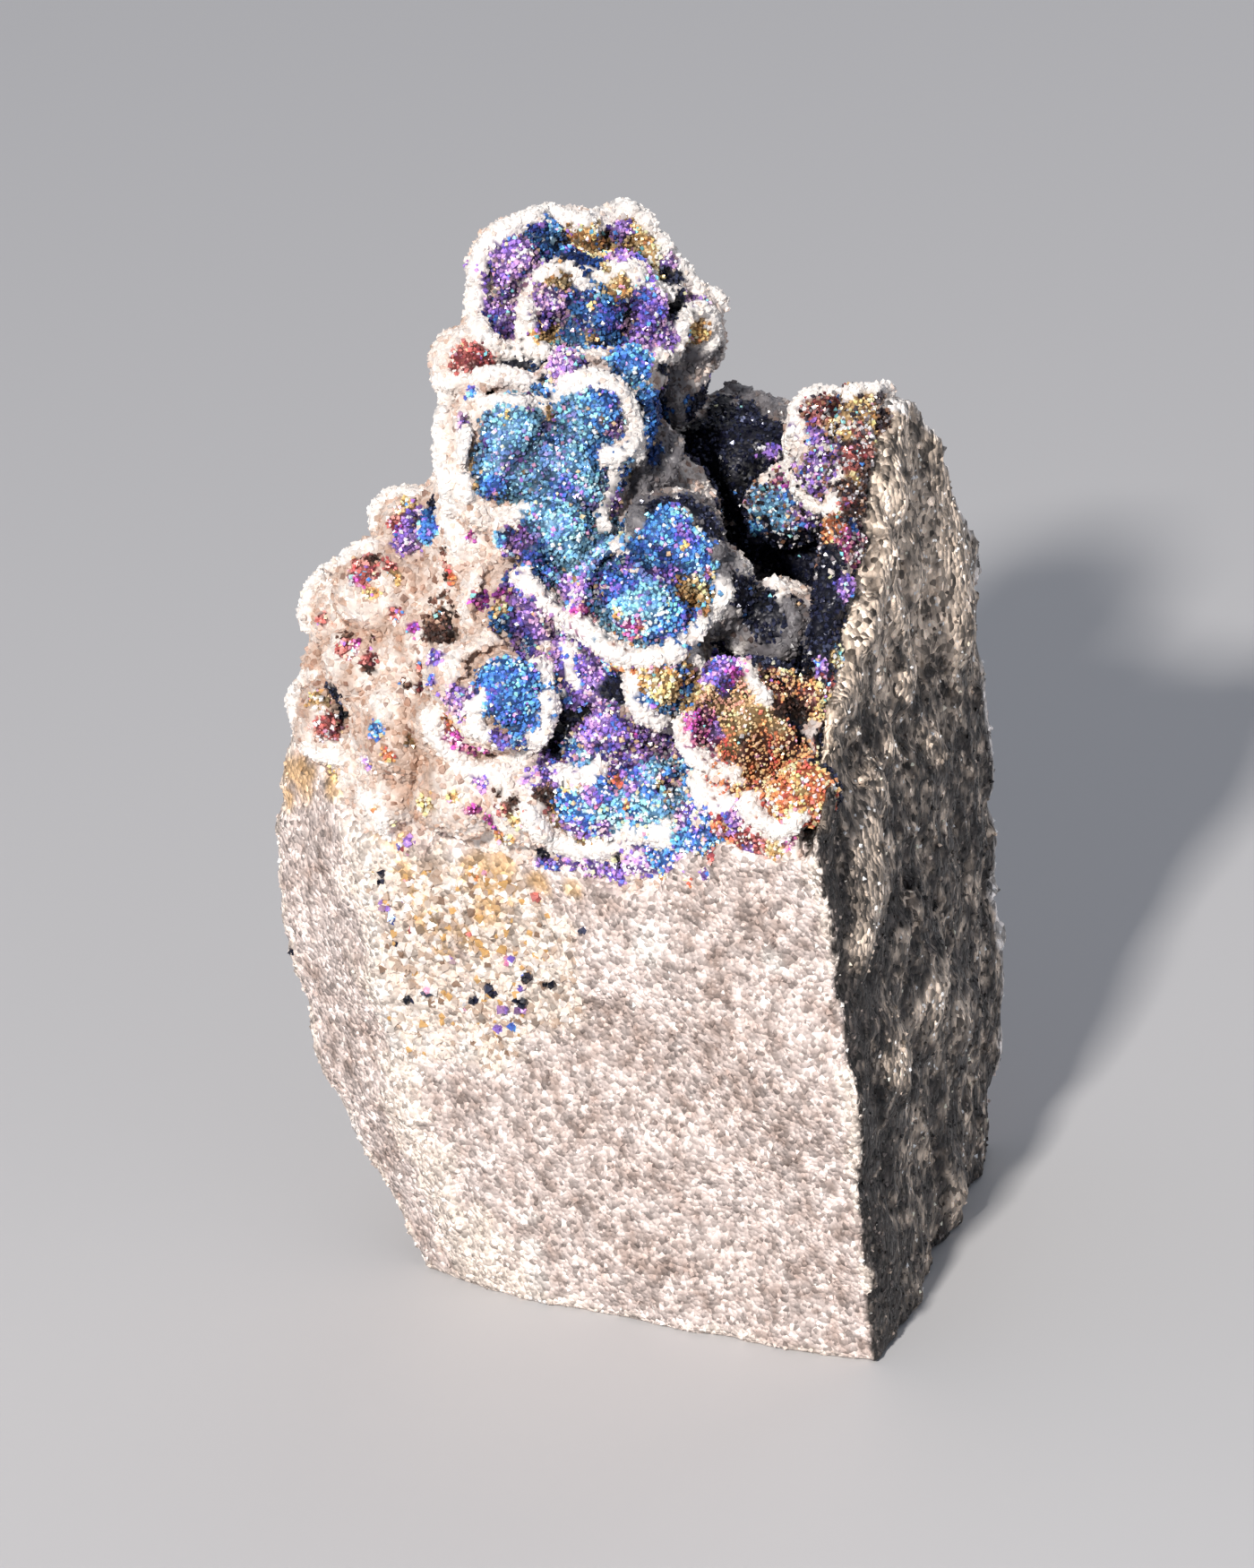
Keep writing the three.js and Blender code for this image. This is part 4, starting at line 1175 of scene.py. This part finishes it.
def openness(p, way, reach=1.2):
    """0 in a crevice of the growth and 1 on a flat or a crest. It sets the painted shade in crevices and the
    painted highlight on crests.
    """
    return ramp(grid.at(growth, p + reach * way) / reach, 0.25, 0.95)


def druse_tints(p, painted_sky_light):
    """White of the druse, brightest on the bands and blushing to beige on the left, with painted shade in
    its crevices, grey on the right and beige on the left, and painted shade where it stands in shade.
    """
    left = ramp(-p[:, 0], *BLUSHING)
    blush = 0.6 + 0.6 * noise(p, 2.2, 51) + 0.6 * noise(p, 0.8, 52)
    blush = ramp(blush, 0.1, 1.3) * (0.12 + 0.88 * left)
    band = 1 - ramp(grid.at(ridges, p), 0.05, 0.3)
    white = mix(WHITE, RIM_WHITE, band[:, None])
    # Painted shade: deep mixes the blush with shade painted into the crevices, and shadow is the colour of
    # both.
    deep = np.clip(blush * (1 - band) + (0.75 + 0.2 * left - 0.5 * band) * (1 - painted_sky_light), 0, 1)
    shadow = mix(SHADED, BLUSH, ramp(-p[:, 0], *SHADE_BLUSHING)[:, None])
    return mix(mix(white, shadow, deep[:, None]), DUSK, 0.9 * spots(p, painted_shade_marks, 0.3)[:, None])


up, centres, across = normals_of(points, quads)
ink, tarnished = growth_zones(points)
painted_sky_light = openness(points, up)
# Painted shade: the base under the crystals is darker in the growth's crevices.
base = 0.4 * INK_TABLE[ink, 2] * mix(0.2, 1, painted_sky_light)[:, None]
tints = np.where(tarnished[:, None], base, druse_tints(points, painted_sky_light))
dyed = tarnished[quads].mean(axis=1) > 0.5
mesh_piece("growth", points, quads, tints, DRUSE, "ore_growth", "ore_growth", (TARNISH, dyed))

exposed = grid.at(bare, centres) > -0.1
centres, across = centres[exposed], across[exposed]
ink, tarnished = growth_zones(centres, rng)
painted_sky_light = openness(centres, across)

# Sugar: quartz crystals on the white druse. On the bands they have only the two palest shades.
sugar = np.nonzero(~tarnished)[0]
band = grid.at(ridges, centres[sugar]) < 0.25
fine = sugar[band][scattered(rng, centres[sugar[band]], BAND_SPACING)]
plain = sugar[~band][scattered(rng, centres[sugar[~band]], SUGAR_SPACING)]
keep = np.concatenate([fine, plain])
size = np.concatenate([rng.uniform(*BAND_SIZE, len(fine)), rng.uniform(*SUGAR_SIZE, len(plain))])
places = shifted(rng, centres[keep] - SUNK * across[keep], SUGAR_SHIFT)
grain = rng.choice(len(DRUSE_GRAINS), len(keep), p=DRUSE_SHARES)
grain[: len(fine)] //= 3
tints = druse_tints(places, painted_sky_light[keep]) * DRUSE_GRAINS[grain] * rng.uniform(0.8, 1.1, (len(keep), 1))
in_two("sugar", rng, places, size, tints, BIPYRAMID, 0.16, SUGAR, "ore_growth")

# Ore: tarnished crystals, only half as many where the ink is dark, and finer in the fan.
ore = np.repeat(np.nonzero(tarnished)[0], 3)
spread = shifted(rng, centres[ore], ORE_SHIFT)
first = scattered(rng, spread, ORE_SPACING)
first = first[(ink[ore[first]] != INK_NUMBER["dark"]) | (rng.random(len(first)) < 0.5)]
places, keep = spread[first], ore[first]
in_fan = near_marks(places, [FAN]) < 1
size = rng.uniform(*ORE_SIZE, len(keep)) * np.where(in_fan, 0.8, 1)
# Painted shade and highlight: the crystals' colours are darker in crevices and brighter on crests.
light = mix(np.where(in_fan, 0.75, 0.4), 1.45, painted_sky_light[keep])
tints = ink_colours(ink[keep], places, rng) * light[:, None]
in_two("ore", rng, places, size, tints, OCTAHEDRON, 0.2, ORE, "ore_growth")

# ---------------------------------------------------------------- floor

FLOOR_REACH = 2  # metres from the specimen
mesh = bpy.data.meshes.new("floor")
corners = [(FLOOR_REACH * x, FLOOR_REACH * y, 0) for x, y in ((-1, -1), (1, -1), (1, 1), (-1, 1))]
mesh.from_pydata(corners, [], [(0, 1, 2, 3)])
floor = placed("floor", mesh)
material, shader = new_material("floor")
shader["Base Color"].default_value = (0.56, 0.56, 0.57, 1)
shader["Roughness"].default_value = 0.6
mesh.materials.append(material)
